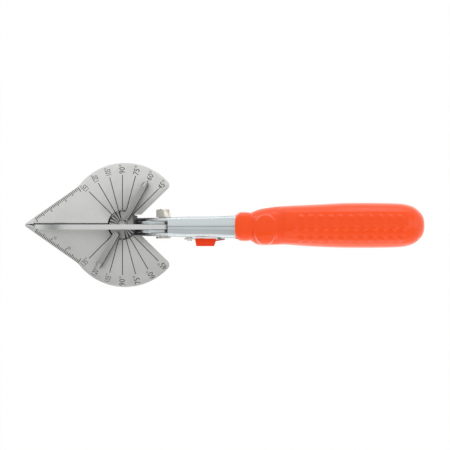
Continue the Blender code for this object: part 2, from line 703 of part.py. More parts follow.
def make_levers(rivet_holes):
    """Both levers: each is two pressed shells that meet at a seam along the web."""
    window = box_cutter("pivot_window",
                        (PIVOT_X - JAW_REACH - CUT_OVERRUN, PIVOT_X + WINDOW_BEHIND_PIVOT),
                        (MID_Y - OUTER_WALL_IN, MID_Y + OUTER_WALL_IN),
                        (JAW_Z - CUT_OVERRUN, GRIP_TOP_Z + CUT_OVERRUN))
    mouth = box_cutter("blade_mouth",
                       (PIVOT_X - PIVOT_TO_GRIP, PIVOT_X + LOWER_WEB_BEHIND_PIVOT),
                       (MID_Y - INNER_WALL_IN, MID_Y + INNER_WALL_IN),
                       (JAW_Z - CUT_OVERRUN, GRIP_TOP_Z + CUT_OVERRUN))
    pivot_hole = holes("pivot_hole", [(PIVOT_X, MID_Y, PIVOT_Z)], BOLT_RADIUS + FIT_GAP,
                       -CHANNEL_HALF_WIDTH - CUT_OVERRUN, CHANNEL_HALF_WIDTH + CUT_OVERRUN, ALONG_Y)
    pieces = {}
    for side, word in ((1.0, "left"), (-1.0, "right")):
        upper = loft("upper_shell_" + word, upper_rings(side), STEEL_SHEET)
        cut(upper, window)
        cut(upper, pivot_hole)
        cut(upper, rivet_holes)
        lower = loft("lower_shell_" + word, lower_rings(side), STEEL_SHEET)
        cut(lower, mouth)
        cut(lower, pivot_hole)
        pieces["upper_" + word] = upper
        pieces["lower_" + word] = lower
    return pieces, pivot_hole


def make_stop_pin(pieces):
    """The cross pin in the upper lever that the lower lever's top edge meets when closed.
    It is headed on the -Y side and flush with the wall on the nut's side."""
    x = PIVOT_X + STOP_PIN_SHARE * PIVOT_TO_GRIP
    z = lever_edges(x, False)[1] + FIT_GAP + STOP_PIN_RADIUS
    place = (x, MID_Y, z)
    half = lever_half_width(x + STOP_PIN_HEAD_RADIUS, True) + FIT_GAP
    hole = holes("stop_pin_hole", [place], STOP_PIN_RADIUS + FIT_GAP,
                 -half - CUT_OVERRUN, half + CUT_OVERRUN, ALONG_Y, 12)
    cut(pieces["upper_left"], hole)
    cut(pieces["upper_right"], hole)
    profile = ((STOP_PIN_HEAD_RADIUS, -half - STOP_PIN_HEAD), (STOP_PIN_HEAD_RADIUS, -half),
               (STOP_PIN_RADIUS, -half), (STOP_PIN_RADIUS, half - FIT_GAP))
    turned("stop_pin", profile, place, ALONG_Y, STEEL_BRIGHT, 12)


def make_blade(pivot_hole):
    edge_z = TABLE_TOP_Z - EDGE_DIP
    outline = [(PIVOT_X - along * BLADE_REACH, edge_z + up * BLADE_HEIGHT)
               for along, up in BLADE_NOSE_SHARES]
    outline += [(PIVOT_X + along * BLADE_HEEL, edge_z + up * BLADE_HEIGHT)
                for along, up in BLADE_HEEL_SHARES]
    back_y = BLADE_FLAT_Y - BLADE_THICK
    blade = side_plate("blade", outline, back_y, BLADE_FLAT_Y, STEEL_BLADE)
    slope = (BLADE_THICK - EDGE_LAND) / BEVEL_HEIGHT
    section = [(BLADE_FLAT_Y - EDGE_LAND + slope * CUT_OVERRUN, edge_z - CUT_OVERRUN),
               (back_y - slope * CUT_OVERRUN, edge_z + BEVEL_HEIGHT + CUT_OVERRUN),
               (back_y - slope * CUT_OVERRUN, edge_z - CUT_OVERRUN)]
    ends = (PIVOT_X - BLADE_REACH - CUT_OVERRUN, PIVOT_X - BEVEL_TO_PIVOT)
    bevel = as_cutter(loft("blade_bevel", [[(x, y, z) for y, z in section] for x in ends], None))
    cut(blade, bevel)
    cut(blade, pivot_hole)
    return blade


def make_blade_rivets(blade, pieces):
    places = [(PIVOT_X + along * PIVOT_TO_GRIP, MID_Y, PIVOT_Z + up * LEVER_DEPTH)
              for along, up in BLADE_RIVET_SHARES]
    hole = holes("blade_rivet_holes", places, BLADE_RIVET_RADIUS + FIT_GAP,
                 -INNER_WALL_OUT - CUT_OVERRUN, INNER_WALL_OUT + CUT_OVERRUN, ALONG_Y, 12)
    for piece in (blade, pieces["lower_left"], pieces["lower_right"]):
        cut(piece, hole)
    rivets = []
    profile = ((BLADE_RIVET_RADIUS, -INNER_WALL_OUT), (BLADE_RIVET_RADIUS, INNER_WALL_OUT))
    for number, place in enumerate(places, 1):
        rivets.append(turned("blade_rivet_%d" % number, profile, place, ALONG_Y, STEEL_BRIGHT, 12))
    return rivets


def make_pivot():
    """The pivot bolt, with its flat head on the -Y side, and its nut on the +Y side."""
    reach = OUTER_WALL_OUT + FIT_GAP
    end = reach + NUT_THICK + BOLT_END
    profile = ((BOLT_HEAD_RADIUS, -reach - BOLT_HEAD), (BOLT_HEAD_RADIUS, -reach),
               (BOLT_RADIUS, -reach), (BOLT_RADIUS, end))
    turned("pivot_bolt", profile, (PIVOT_X, MID_Y, PIVOT_Z), ALONG_Y, STEEL_BRIGHT)
    corner = hex_corner(NUT_FLATS)
    round_radius = NUT_FLATS / 2
    rings = turned_rings(((round_radius, reach), (corner, reach + NUT_CHAMFER),
                          (corner, reach + NUT_THICK - NUT_CHAMFER),
                          (round_radius, reach + NUT_THICK)),
                         (PIVOT_X, MID_Y, PIVOT_Z), ALONG_Y, 6)
    turn = Matrix.Translation((PIVOT_X, MID_Y, PIVOT_Z)) @ Matrix.Rotation(math.pi / 2, 4, "Y")
    turn = turn @ Matrix.Translation((-PIVOT_X, -MID_Y, -PIVOT_Z))
    nut = loft("pivot_nut", [[turn @ point for point in ring] for ring in rings], STEEL_BRIGHT)
    cut(nut, holes("nut_bore", [(PIVOT_X, MID_Y, PIVOT_Z)], BOLT_RADIUS + FIT_GAP,
                   reach - CUT_OVERRUN, end + CUT_OVERRUN, ALONG_Y))


def make_grip(upper, name):
    """A moulded grip with a pocket that takes the lever's tang."""
    grip = loft(name, grip_rings(upper), GRIP_PLASTIC)
    stations = [GRIP_X - CUT_OVERRUN]
    stations += [GRIP_X + TANG_LENGTH * step / TANG_STEPS for step in range(TANG_STEPS)]
    stations.append(GRIP_X + TANG_LENGTH + FIT_GAP)
    rings = []
    for x in stations:
        centre = grip_centre_z(x, upper)
        side = lever_half_width(x, upper) + FIT_GAP
        up = LEVER_DEPTH / 2 + FIT_GAP
        rings.append([(x, MID_Y - side, centre - up), (x, MID_Y + side, centre - up),
                      (x, MID_Y + side, centre + up), (x, MID_Y - side, centre + up)])
    cut(grip, as_cutter(loft(name + "_pocket", rings, None)))
    return grip


def make_fence(pivot):
    """The index disc, the two arms on it and their screws. Built in line with X, then turned."""
    made = []
    disc_top = BRACKET_TOP_Z
    spokes = int(round(math.tau / GROOVE_STEP_ANGLE)) * 2
    groove_angles = [FIRST_GROOVE_ANGLE + GROOVE_STEP_ANGLE * i + half for half in (0.0, math.pi)
                     for i in range(GROOVE_COUNT)]
    bore = DISC_SCREW_RADIUS + FIT_GAP
    sink = DISC_SCREW_HEAD_RADIUS + FIT_GAP
    sink_z = disc_top - DISC_SCREW_HEAD - DISC_SCREW_SINK - FIT_GAP
    rings = []
    for radius, z, grooved in ((bore, BRACKET_Z, False), (DISC_RADIUS, BRACKET_Z, False),
                               (DISC_RADIUS, disc_top, True),
                               (GROOVE_START_RADIUS, disc_top, False),
                               (sink, disc_top, False), (sink, sink_z, False),
                               (bore, sink_z, False)):
        ring = []
        for i in range(spokes):
            angle = math.tau * i / spokes
            in_groove = any(abs(angle - groove) < GROOVE_STEP_ANGLE / 4 for groove in groove_angles)
            drop = GROOVE_DEPTH if grooved and in_groove else 0.0
            ring.append((radius * math.cos(angle), radius * math.sin(angle), z - drop))
        rings.append(ring)
    bm = bmesh.new()
    loops = [[bm.verts.new(point) for point in ring] for ring in rings]
    grooved_rim = loops[2]
    for first, second in zip(loops, loops[1:] + loops[:1]):
        for i in range(spokes):
            j = (i + 1) % spokes
            if first is not grooved_rim:
                bm.faces.new((first[i], first[j], second[j], second[i]))
            elif i % 2:
                # grooves lie on even spokes, and each flank's fold runs to the groove's inner end
                bm.faces.new((first[i], first[j], second[j]))
                bm.faces.new((first[i], second[j], second[i]))
            else:
                bm.faces.new((first[i], first[j], second[i]))
                bm.faces.new((first[j], second[j], second[i]))
    disc = finish(bm, "index_disc", STEEL_PLATE)
    made.append(disc)

    screws = [(side * ARM_SCREW_AT, 0.0, 0.0) for side in (1.0, -1.0)]
    shank = ARM_SCREW_RADIUS + FIT_GAP
    head_top = BRACKET_Z + ARM_SCREW_HEAD
    arm_z = disc_top + FIT_GAP
    screw_top = arm_z + ARM_SCREW_REACH
    cut(disc, holes("disc_screw_holes", screws, shank,
                    BRACKET_Z - CUT_OVERRUN, disc_top + CUT_OVERRUN, ALONG_Z, 10))
    cut(disc, holes("disc_head_sinks", screws, ARM_SCREW_HEAD_RADIUS + FIT_GAP,
                    BRACKET_Z - CUT_OVERRUN, head_top + FIT_GAP, ALONG_Z, 10))
    arm_holes = holes("arm_screw_holes", screws, shank,
                      arm_z - CUT_OVERRUN, screw_top + FIT_GAP, ALONG_Z, 10)

    bar_z = TABLE_TOP_Z + FIT_GAP
    foot_end = DISC_RADIUS - FIT_GAP
    half = ARM_WIDTH / 2
    for side, root, name in ((1.0, ARM_ROOT_NEAR, "fence_arm_left"),
                             (-1.0, ARM_ROOT_FAR, "fence_arm_right")):
        outline = arc((root + half, 0.0), half, math.pi / 2, math.pi * 3 / 2, 6)
        outline += arc((ARM_LENGTH - half, 0.0), half, -math.pi / 2, math.pi / 2, 6)
        outline = [(x * side, y) for x, y in outline]
        arm = plate(name, outline, arm_z, TABLE_TOP_Z + ARM_HEIGHT, STEEL_PLATE)
        under = sorted((side * foot_end, side * (ARM_LENGTH + CUT_OVERRUN)))
        cut(arm, box_cutter(name + "_underside", under, (-ARM_WIDTH, ARM_WIDTH),
                            (arm_z - CUT_OVERRUN, bar_z)))
        cut(arm, arm_holes)
        made.append(arm)
    for number, (x, y, _) in enumerate(screws, 1):
        profile = headed(ARM_SCREW_RADIUS, ARM_SCREW_HEAD_RADIUS, ARM_SCREW_HEAD,
                         screw_top - BRACKET_Z)
        made.append(turned("fence_screw_%d" % number, profile, (x, y, BRACKET_Z), ALONG_Z,
                           STEEL_BRIGHT, 10))
    head_z = disc_top - DISC_SCREW_SINK
    end_z = KNOB_HEIGHT - DISC_SCREW_REACH
    made.append(turned("fence_pivot_screw",
                       headed(DISC_SCREW_RADIUS, DISC_SCREW_HEAD_RADIUS, DISC_SCREW_HEAD,
                              head_z - end_z),
                       (0.0, 0.0, head_z), (0.0, 0.0, -1.0), STEEL_BRIGHT))
    for piece in made:
        piece.parent = pivot
    for name in ("disc_screw_holes", "disc_head_sinks", "arm_screw_holes",
                 "fence_arm_left_underside", "fence_arm_right_underside"):
        bpy.data.objects[name].parent = pivot


def make_clamp(pivot):
    """The washer, the fluted knob and the threaded insert in it."""
    bore = DISC_SCREW_RADIUS + FIT_GAP
    washer = turned("clamp_washer",
                    ((WASHER_RADIUS, WASHER_Z), (WASHER_RADIUS, WASHER_Z + WASHER_THICK)),
                    (HUB_X, 0.0, 0.0), ALONG_Z, STEEL_BRIGHT, 24)
    cut(washer, holes("washer_bore", [(HUB_X, 0.0, 0.0)], bore, WASHER_Z - CUT_OVERRUN,
                      WASHER_Z + WASHER_THICK + CUT_OVERRUN, ALONG_Z))
    rings = []
    spokes = KNOB_FLUTES * 2
    for z, inset in ((0.0, KNOB_CHAMFER), (KNOB_CHAMFER, 0.0),
                     (KNOB_HEIGHT - KNOB_CHAMFER, 0.0), (KNOB_HEIGHT, KNOB_CHAMFER)):
        ring = []
        for i in range(spokes):
            angle = math.tau * i / spokes
            radius = KNOB_RADIUS - inset - (KNOB_FLUTE if i % 2 else 0.0)
            ring.append((HUB_X + radius * math.cos(angle), radius * math.sin(angle), z))
        rings.append(ring)
    knob = loft("clamp_knob", rings, KNOB_PLASTIC)
    pocket_radius = hex_corner(INSERT_FLATS) + FIT_GAP
    cut(knob, holes("knob_pocket", [(HUB_X, 0.0, 0.0)], pocket_radius,
                    KNOB_FLOOR, KNOB_HEIGHT + CUT_OVERRUN, ALONG_Z, 6))
    insert_z = KNOB_FLOOR + FIT_GAP
    insert = turned("knob_insert", ((hex_corner(INSERT_FLATS), insert_z),
                                    (hex_corner(INSERT_FLATS), KNOB_HEIGHT)),
                    (HUB_X, 0.0, 0.0), ALONG_Z, STEEL_BRIGHT, 6)
    cut(insert, holes("insert_bore", [(HUB_X, 0.0, 0.0)], bore, insert_z - CUT_OVERRUN,
                      KNOB_HEIGHT + CUT_OVERRUN, ALONG_Z))
    carry(knob, pivot)
    carry(insert, pivot)
    for name in ("knob_pocket", "insert_bore"):
        carry(bpy.data.objects[name], pivot)


def spring_ends():
    """Foot and head of the return spring, between the seats on both webs."""
    x = PIVOT_X + SPRING_SHARE * PIVOT_TO_GRIP
    low = lever_edges(x, False)[0] + SHEET + WEB_CROWN + FIT_GAP
    high = lever_edges(x, True)[1] - SHEET - WEB_CROWN - FIT_GAP
    return x, low, high


def make_spring(main_pivot):
    x, low, high = spring_ends()
    seat = ((SEAT_RADIUS, 0.0), (SEAT_RADIUS, SEAT_THICK), (SEAT_PEG_RADIUS, SEAT_THICK),
            (SEAT_PEG_RADIUS, SEAT_THICK + SEAT_PEG_HEIGHT))
    lower_seat = turned("spring_seat_lower", seat, (x, MID_Y, low), ALONG_Z, STEEL_DARK, 16)
    turned("spring_seat_upper", seat, (x, MID_Y, high), (0.0, 0.0, -1.0), STEEL_DARK, 16)
    carry(lower_seat, main_pivot)
    start = low + SEAT_THICK + FIT_GAP + SPRING_WIRE / 2
    end = high - SEAT_THICK - FIT_GAP - SPRING_WIRE / 2
    steps = SPRING_TURNS * SPRING_POINTS_PER_TURN
    curve = bpy.data.curves.new("return_spring", "CURVE")
    curve.dimensions = "3D"
    curve.bevel_depth = SPRING_WIRE / 2
    curve.bevel_resolution = 1
    curve.render_resolution_u = 0
    curve.use_fill_caps = True
    spline = curve.splines.new("POLY")
    spline.points.add(steps)
    places = []
    # the end turns lie almost flat and the pitch is even between them
    end_rise = (SPRING_WIRE + FIT_GAP * 2) * SPRING_END_TURN
    for step in range(steps + 1):
        turns = step / SPRING_POINTS_PER_TURN
        from_end = min(turns, SPRING_TURNS - turns)
        if from_end < SPRING_END_TURN:
            rise = end_rise * from_end / SPRING_END_TURN
            z = start + rise if turns < SPRING_TURNS / 2 else end - rise
        else:
            part = (turns - SPRING_END_TURN) / (SPRING_TURNS - 2 * SPRING_END_TURN)
            z = start + end_rise + (end - start - 2 * end_rise) * part
        angle = math.tau * turns
        places.append(Vector((x + SPRING_RADIUS * math.cos(angle),
                              MID_Y + SPRING_RADIUS * math.sin(angle), z)))
    for point, place in zip(spline.points, places):
        point.co = (*place, 1.0)
    curve.materials.append(STEEL_BRIGHT)
    spring = bpy.data.objects.new("return_spring", curve)
    bpy.context.collection.objects.link(spring)
    least = min((a - b).length for i, a in enumerate(places)
                for b in places[i + SPRING_POINTS_PER_TURN // 2 + 1:])
    print("return_spring: least gap between turns %.2f mm" % ((least - SPRING_WIRE) / MM))


def latch_plane():
    """Inner face of the latch strip, just outside the -Y wall where the strip ends."""
    x = PIVOT_X + LATCH_SHARE * PIVOT_TO_GRIP + LATCH_TAIL
    return MID_Y - lever_half_width(x, True) - LATCH_STANDOFF


def make_latch(pieces, pivot, main_pivot):
    """The strip with its hook, the red thumb tab on it, the rivet and the catch pin."""
    eye = Vector((pivot.location.x, pivot.location.z))
    pin = Vector((PIVOT_X + CATCH_PIN_SHARE * PIVOT_TO_GRIP, PIVOT_Z - CATCH_PIN_BELOW_PIVOT))
    # the pin as the strip sees it while the latch is released
    spoke = pin - eye
    spoke.rotate(Matrix.Rotation(-LATCH_SWING_ANGLE, 2))
    hook = eye + spoke
    out = spoke.normalized()
    onward = Vector((-out.y, out.x))
    slot = CATCH_PIN_RADIUS + FIT_GAP
    wall = slot + HOOK_WALL
    hook_points = [hook + onward * HOOK_LIP + out * slot, hook + onward * HOOK_LIP + out * wall]
    for step in range(5):
        angle = math.pi * step / 4
        hook_points.append(hook - onward * wall * math.sin(angle) + out * wall * math.cos(angle))
    inside = []
    for step in range(5):
        angle = math.pi * step / 4
        inside.append(hook - onward * slot * math.sin(angle) + out * slot * math.cos(angle))
    outline = arc(eye, LATCH_EYE_RADIUS, math.pi / 2, EYE_END_ANGLE, 5)
    outline += [(eye.x + ARM_FRONT_SHARES[0] * LATCH_TAIL,
                 eye.y + ARM_FRONT_SHARES[1] * LATCH_EYE_RADIUS)]
    outline += hook_points[:1:-1]
    outline += [hook_points[1], hook_points[0]]
    outline += inside
    outline += [(eye.x + along * LATCH_TAIL, eye.y + up * LATCH_EYE_RADIUS)
                for along, up in STRIP_EDGE_SHARES]
    y_in = latch_plane()
    strip = side_plate("latch_plate", [tuple(point) for point in outline],
                       y_in - LATCH_THICK, y_in, STEEL_DARK)
    rivet_place = (eye.x, 0.0, eye.y)
    wall_in = MID_Y - lever_half_width(eye.x, True) + SHEET
    hole = holes("latch_rivet_hole", [rivet_place], LATCH_RIVET_RADIUS + FIT_GAP,
                 y_in - LATCH_THICK - CUT_OVERRUN, wall_in + CUT_OVERRUN, ALONG_Y, 12)
    cut(strip, hole)
    cut(pieces["upper_right"], hole)
    outer = y_in - LATCH_THICK - FIT_GAP
    inner = wall_in + FIT_GAP
    profile = ((LATCH_RIVET_HEAD_RADIUS * RIVET_CROWN_SHARE, outer - LATCH_RIVET_HEAD),
               (LATCH_RIVET_HEAD_RADIUS, outer), (LATCH_RIVET_RADIUS, outer),
               (LATCH_RIVET_RADIUS, inner), (LATCH_RIVET_HEAD_RADIUS, inner),
               (LATCH_RIVET_HEAD_RADIUS, inner + LATCH_RIVET_HEAD))
    turned("latch_rivet", profile, rivet_place, ALONG_Y, STEEL_BRIGHT, 12)

    # the tab lies on the strip's outer face and folds over its top edge
    tab_y = y_in - LATCH_THICK - FIT_GAP
    x0 = eye.x + TAB_START
    x1 = x0 + TAB_LENGTH
    strip_top = eye.y + LATCH_EYE_RADIUS + FIT_GAP
    top = strip_top + TAB_LIP
    low = top - TAB_HEIGHT
    rings = [[(x0, y, low), (x1, y, low), (x1, y, top), (x0, y, top)] for y in (y_in, tab_y)]
    rings.append([(x0 + TAB_TAPER / 2, tab_y - TAB_STAND, low + TAB_TAPER),
                  (x1 - TAB_TAPER, tab_y - TAB_STAND, low + TAB_TAPER),
                  (x1 - TAB_TAPER, tab_y - TAB_STAND, top - TAB_TAPER),
                  (x0 + TAB_TAPER / 2, tab_y - TAB_STAND, top - TAB_TAPER)])
    tab = loft("latch_tab", rings, LATCH_PLASTIC)
    tab_fold = box_cutter("tab_fold", (x0 - CUT_OVERRUN, x1 + CUT_OVERRUN),
                          (tab_y, y_in + CUT_OVERRUN), (low - CUT_OVERRUN, strip_top))
    cut(tab, tab_fold)

    pin_x, pin_z = pin
    wall_out = MID_Y - lever_half_width(pin_x, False)
    pin_place = (pin_x, 0.0, pin_z)
    pin_hole = holes("catch_pin_hole", [pin_place], CATCH_PIN_RADIUS + FIT_GAP,
                     wall_out - CUT_OVERRUN, wall_out + SHEET + CUT_OVERRUN, ALONG_Y, 12)
    cut(pieces["lower_right"], pin_hole)
    inner = wall_out + SHEET + FIT_GAP
    profile = ((CATCH_PIN_RADIUS, y_in - LATCH_THICK), (CATCH_PIN_RADIUS, inner),
               (CATCH_PIN_HEAD_RADIUS, inner), (CATCH_PIN_HEAD_RADIUS, inner + CATCH_PIN_HEAD))
    catch = turned("catch_pin", profile, pin_place, ALONG_Y, STEEL_BRIGHT, 12)
    for piece in (strip, tab, tab_fold):
        carry(piece, pivot)
    carry(catch, main_pivot)


def build():
    for old in list(bpy.data.objects):
        bpy.data.objects.remove(old)
    main_pivot = empty("main_pivot", (PIVOT_X, MID_Y, PIVOT_Z))
    fence_pivot = empty("fence_pivot", (HUB_X, 0.0, 0.0), FENCE_ANGLE)
    knob_pivot = empty("knob_pivot", (HUB_X, 0.0, 0.0))
    latch_pivot = empty("latch_pivot", (PIVOT_X + LATCH_SHARE * PIVOT_TO_GRIP, latch_plane(),
                                        PIVOT_Z + LATCH_ABOVE_PIVOT))
    make_table()
    bracket_screws = make_bracket()
    rivet_holes = make_jaw_block(bracket_screws)
    pieces, pivot_hole = make_levers(rivet_holes)
    make_stop_pin(pieces)
    blade = make_blade(pivot_hole)
    rivets = make_blade_rivets(blade, pieces)
    make_pivot()
    make_grip(True, "upper_grip")
    lower_grip = make_grip(False, "lower_grip")
    make_fence(fence_pivot)
    make_clamp(knob_pivot)
    make_latch(pieces, latch_pivot, main_pivot)
    make_spring(main_pivot)
    for piece in [pieces["lower_left"], pieces["lower_right"], blade, lower_grip] + rivets:
        carry(piece, main_pivot)
    for name in ("blade_mouth", "blade_bevel", "blade_rivet_holes", "lower_grip_pocket",
                 "catch_pin_hole"):
        carry(bpy.data.objects[name], main_pivot)


build()
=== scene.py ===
import math

import bmesh
import bpy
import numpy as np
from mathutils import Matrix, Vector


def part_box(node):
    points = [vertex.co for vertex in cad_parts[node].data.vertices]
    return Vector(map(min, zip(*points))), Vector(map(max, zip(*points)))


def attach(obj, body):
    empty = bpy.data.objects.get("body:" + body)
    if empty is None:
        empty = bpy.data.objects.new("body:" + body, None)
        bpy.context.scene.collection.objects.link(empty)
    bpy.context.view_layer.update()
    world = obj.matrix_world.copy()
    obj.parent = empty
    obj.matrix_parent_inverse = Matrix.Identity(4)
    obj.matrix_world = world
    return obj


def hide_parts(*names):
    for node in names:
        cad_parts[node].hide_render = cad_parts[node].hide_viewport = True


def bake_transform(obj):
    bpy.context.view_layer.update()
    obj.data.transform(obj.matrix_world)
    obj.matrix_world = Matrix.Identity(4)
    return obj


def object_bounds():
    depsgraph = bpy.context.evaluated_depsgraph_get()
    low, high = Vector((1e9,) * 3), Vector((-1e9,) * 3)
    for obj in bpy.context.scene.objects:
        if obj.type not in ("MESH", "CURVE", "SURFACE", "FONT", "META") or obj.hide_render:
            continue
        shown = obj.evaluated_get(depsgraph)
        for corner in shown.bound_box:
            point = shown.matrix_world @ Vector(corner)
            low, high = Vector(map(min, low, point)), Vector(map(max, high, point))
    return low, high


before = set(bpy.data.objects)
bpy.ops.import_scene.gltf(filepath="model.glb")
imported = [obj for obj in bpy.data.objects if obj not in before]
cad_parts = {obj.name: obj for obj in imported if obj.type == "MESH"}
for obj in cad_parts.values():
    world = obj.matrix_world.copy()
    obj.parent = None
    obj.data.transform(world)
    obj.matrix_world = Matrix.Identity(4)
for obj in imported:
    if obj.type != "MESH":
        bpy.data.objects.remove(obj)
cad_low, cad_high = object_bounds()

# Table halves. Two steel plates carry the strip that is cut: blanked, deburred, satin plated,
# then etched with a ruler along each front edge and with angle lines round the hub.
# They are screwed from below to the bracket, a blade's width apart.
MM = 0.001
table_low, table_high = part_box("table_half_left")
HUB_ALONG = -56.3
HUB = Vector((HUB_ALONG * MM, 0.0))
TABLE_TOP = table_high.z
LOBE_CENTRE = HUB + Vector((1.5, 2.06)) * MM
LOBE_RADIUS = 33.4 * MM
RULER_LINE_SHARE = 0.9515
WAIST_FILLET = 16.0 * MM
REAR_CORNER = 2.9 * MM
REAR_NOTCH = HUB + Vector((10.7, 5.94)) * MM
REAR_ANGLE = math.radians(44.2)
HUB_HOLE = 8.5 * MM
PLATE_EDGE = 0.12 * MM
ETCH_DEPTH = 0.10 * MM
ETCH_OVER = 0.30 * MM
SMOOTH_ANGLE = math.radians(38)
MERGE_WITHIN = 0.0005 * MM
TIP = Vector((table_low.x, table_low.y))


def add_node(tree, kind, feeds=None, **settings):
    """A node with its settings; each feed is a value or another node's output."""
    made = tree.nodes.new(kind)
    for name, value in settings.items():
        setattr(made, name, value)
    for name, value in (feeds or {}).items():
        socket = made.inputs[name]
        if isinstance(value, bpy.types.NodeSocket):
            tree.links.new(value, socket)
        else:
            socket.default_value = value
    return made


def add_math(tree, operation, first, second=0.0, third=0.0):
    """The output of a Math node."""
    return add_node(tree, "ShaderNodeMath", {0: first, 1: second, 2: third},
                    operation=operation).outputs[0]


def new_group(kind, name, inputs, outputs):
    """A node group with named sockets, and its input and output nodes."""
    group = bpy.data.node_groups.new(name, kind)
    for label, socket_type, value in inputs:
        socket = group.interface.new_socket(label, in_out="INPUT", socket_type=socket_type)
        if value is not None:
            socket.default_value = value
    for label, socket_type in outputs:
        group.interface.new_socket(label, in_out="OUTPUT", socket_type=socket_type)
    return group, group.nodes.new("NodeGroupInput").outputs, group.nodes.new("NodeGroupOutput").inputs


def make_grain_group():
    """Fine grain, drawn out by Stretch, and broad uneven patches, both from 0 to 1."""
    group, given, out = new_group(
        "ShaderNodeTree", "metal and plastic grain",
        [("Stretch", "NodeSocketVector", (1.0, 1.0, 1.0)), ("Fineness", "NodeSocketFloat", 900.0),
         ("Patch Scale", "NodeSocketFloat", 70.0)],
        [("Grain", "NodeSocketFloat"), ("Patch", "NodeSocketFloat")])
    place = add_node(group, "ShaderNodeTexCoord").outputs["Object"]
    drawn = add_node(group, "ShaderNodeVectorMath", {0: place, 1: given["Stretch"]},
                     operation="MULTIPLY").outputs[0]
    grain = add_node(group, "ShaderNodeTexNoise",
                     {"Vector": drawn, "Scale": given["Fineness"], "Detail": 3.0, "Roughness": 0.62})
    patch = add_node(group, "ShaderNodeTexNoise",
                     {"Vector": place, "Scale": given["Patch Scale"], "Detail": 4.0, "Roughness": 0.55,
                      "Distortion": 0.4})
    group.links.new(grain.outputs[0], out["Grain"])
    group.links.new(patch.outputs[0], out["Patch"])
    return group


WEAR_GAIN = 7.0
DUST_ON_SIDES = 0.15


def make_wear_group():
    """Where an edge is rubbed bright: 1 on edges, broken up by noise, 0 on flats."""
    group, given, out = new_group(
        "ShaderNodeTree", "rubbed edges",
        [("Radius", "NodeSocketFloat", 0.0003), ("Amount", "NodeSocketFloat", 1.0)],
        [("Wear", "NodeSocketFloat")])
    rounded = add_node(group, "ShaderNodeBevel", {"Radius": given["Radius"]}, samples=4).outputs[0]
    plain = add_node(group, "ShaderNodeNewGeometry").outputs["Normal"]
    facing = add_node(group, "ShaderNodeVectorMath", {0: rounded, 1: plain},
                      operation="DOT_PRODUCT").outputs["Value"]
    place = add_node(group, "ShaderNodeTexCoord").outputs["Object"]
    broken = add_node(group, "ShaderNodeTexNoise", {"Vector": place, "Scale": 420.0, "Detail": 3.0})
    edge = add_math(group, "MULTIPLY", add_math(group, "SUBTRACT", 1.0, facing), WEAR_GAIN)
    worn = add_math(group, "MULTIPLY", edge, add_math(group, "MULTIPLY", broken.outputs[0], given["Amount"]))
    group.links.new(add_math(group, "MINIMUM", worn, 1.0), out["Wear"])
    return group


def make_dust_group():
    """Fine dust and finger marks on faces that look up, from 0 to 1."""
    group, given, out = new_group(
        "ShaderNodeTree", "dust and finger marks",
        [("Amount", "NodeSocketFloat", 0.2), ("Scale", "NodeSocketFloat", 45.0)],
        [("Dust", "NodeSocketFloat")])
    place = add_node(group, "ShaderNodeTexCoord").outputs["Object"]
    cloud = add_node(group, "ShaderNodeTexNoise",
                     {"Vector": place, "Scale": given["Scale"], "Detail": 5.0, "Roughness": 0.65})
    patches = add_node(group, "ShaderNodeMapRange",
                       {"Value": cloud.outputs[0], "From Min": 0.45, "From Max": 0.72}).outputs[0]
    normal = add_node(group, "ShaderNodeNewGeometry").outputs["Normal"]
    up = add_node(group, "ShaderNodeSeparateXYZ", {0: normal}).outputs[2]
    lying = add_math(group, "MAXIMUM", up, DUST_ON_SIDES)
    dust = add_math(group, "MULTIPLY", add_math(group, "MULTIPLY", patches, lying), given["Amount"])
    group.links.new(dust, out["Dust"])
    return group


GRAIN_GROUP = make_grain_group()
WEAR_GROUP = make_wear_group()
DUST_GROUP = make_dust_group()
DUST_COLOUR = (0.62, 0.60, 0.56, 1.0)
DUST_ROUGHNESS = 0.25
COAT_ROUGHNESS = 0.20
SHEEN_ROUGHNESS = 0.42
SHEEN_TINT = (1.0, 0.80, 0.66, 1.0)


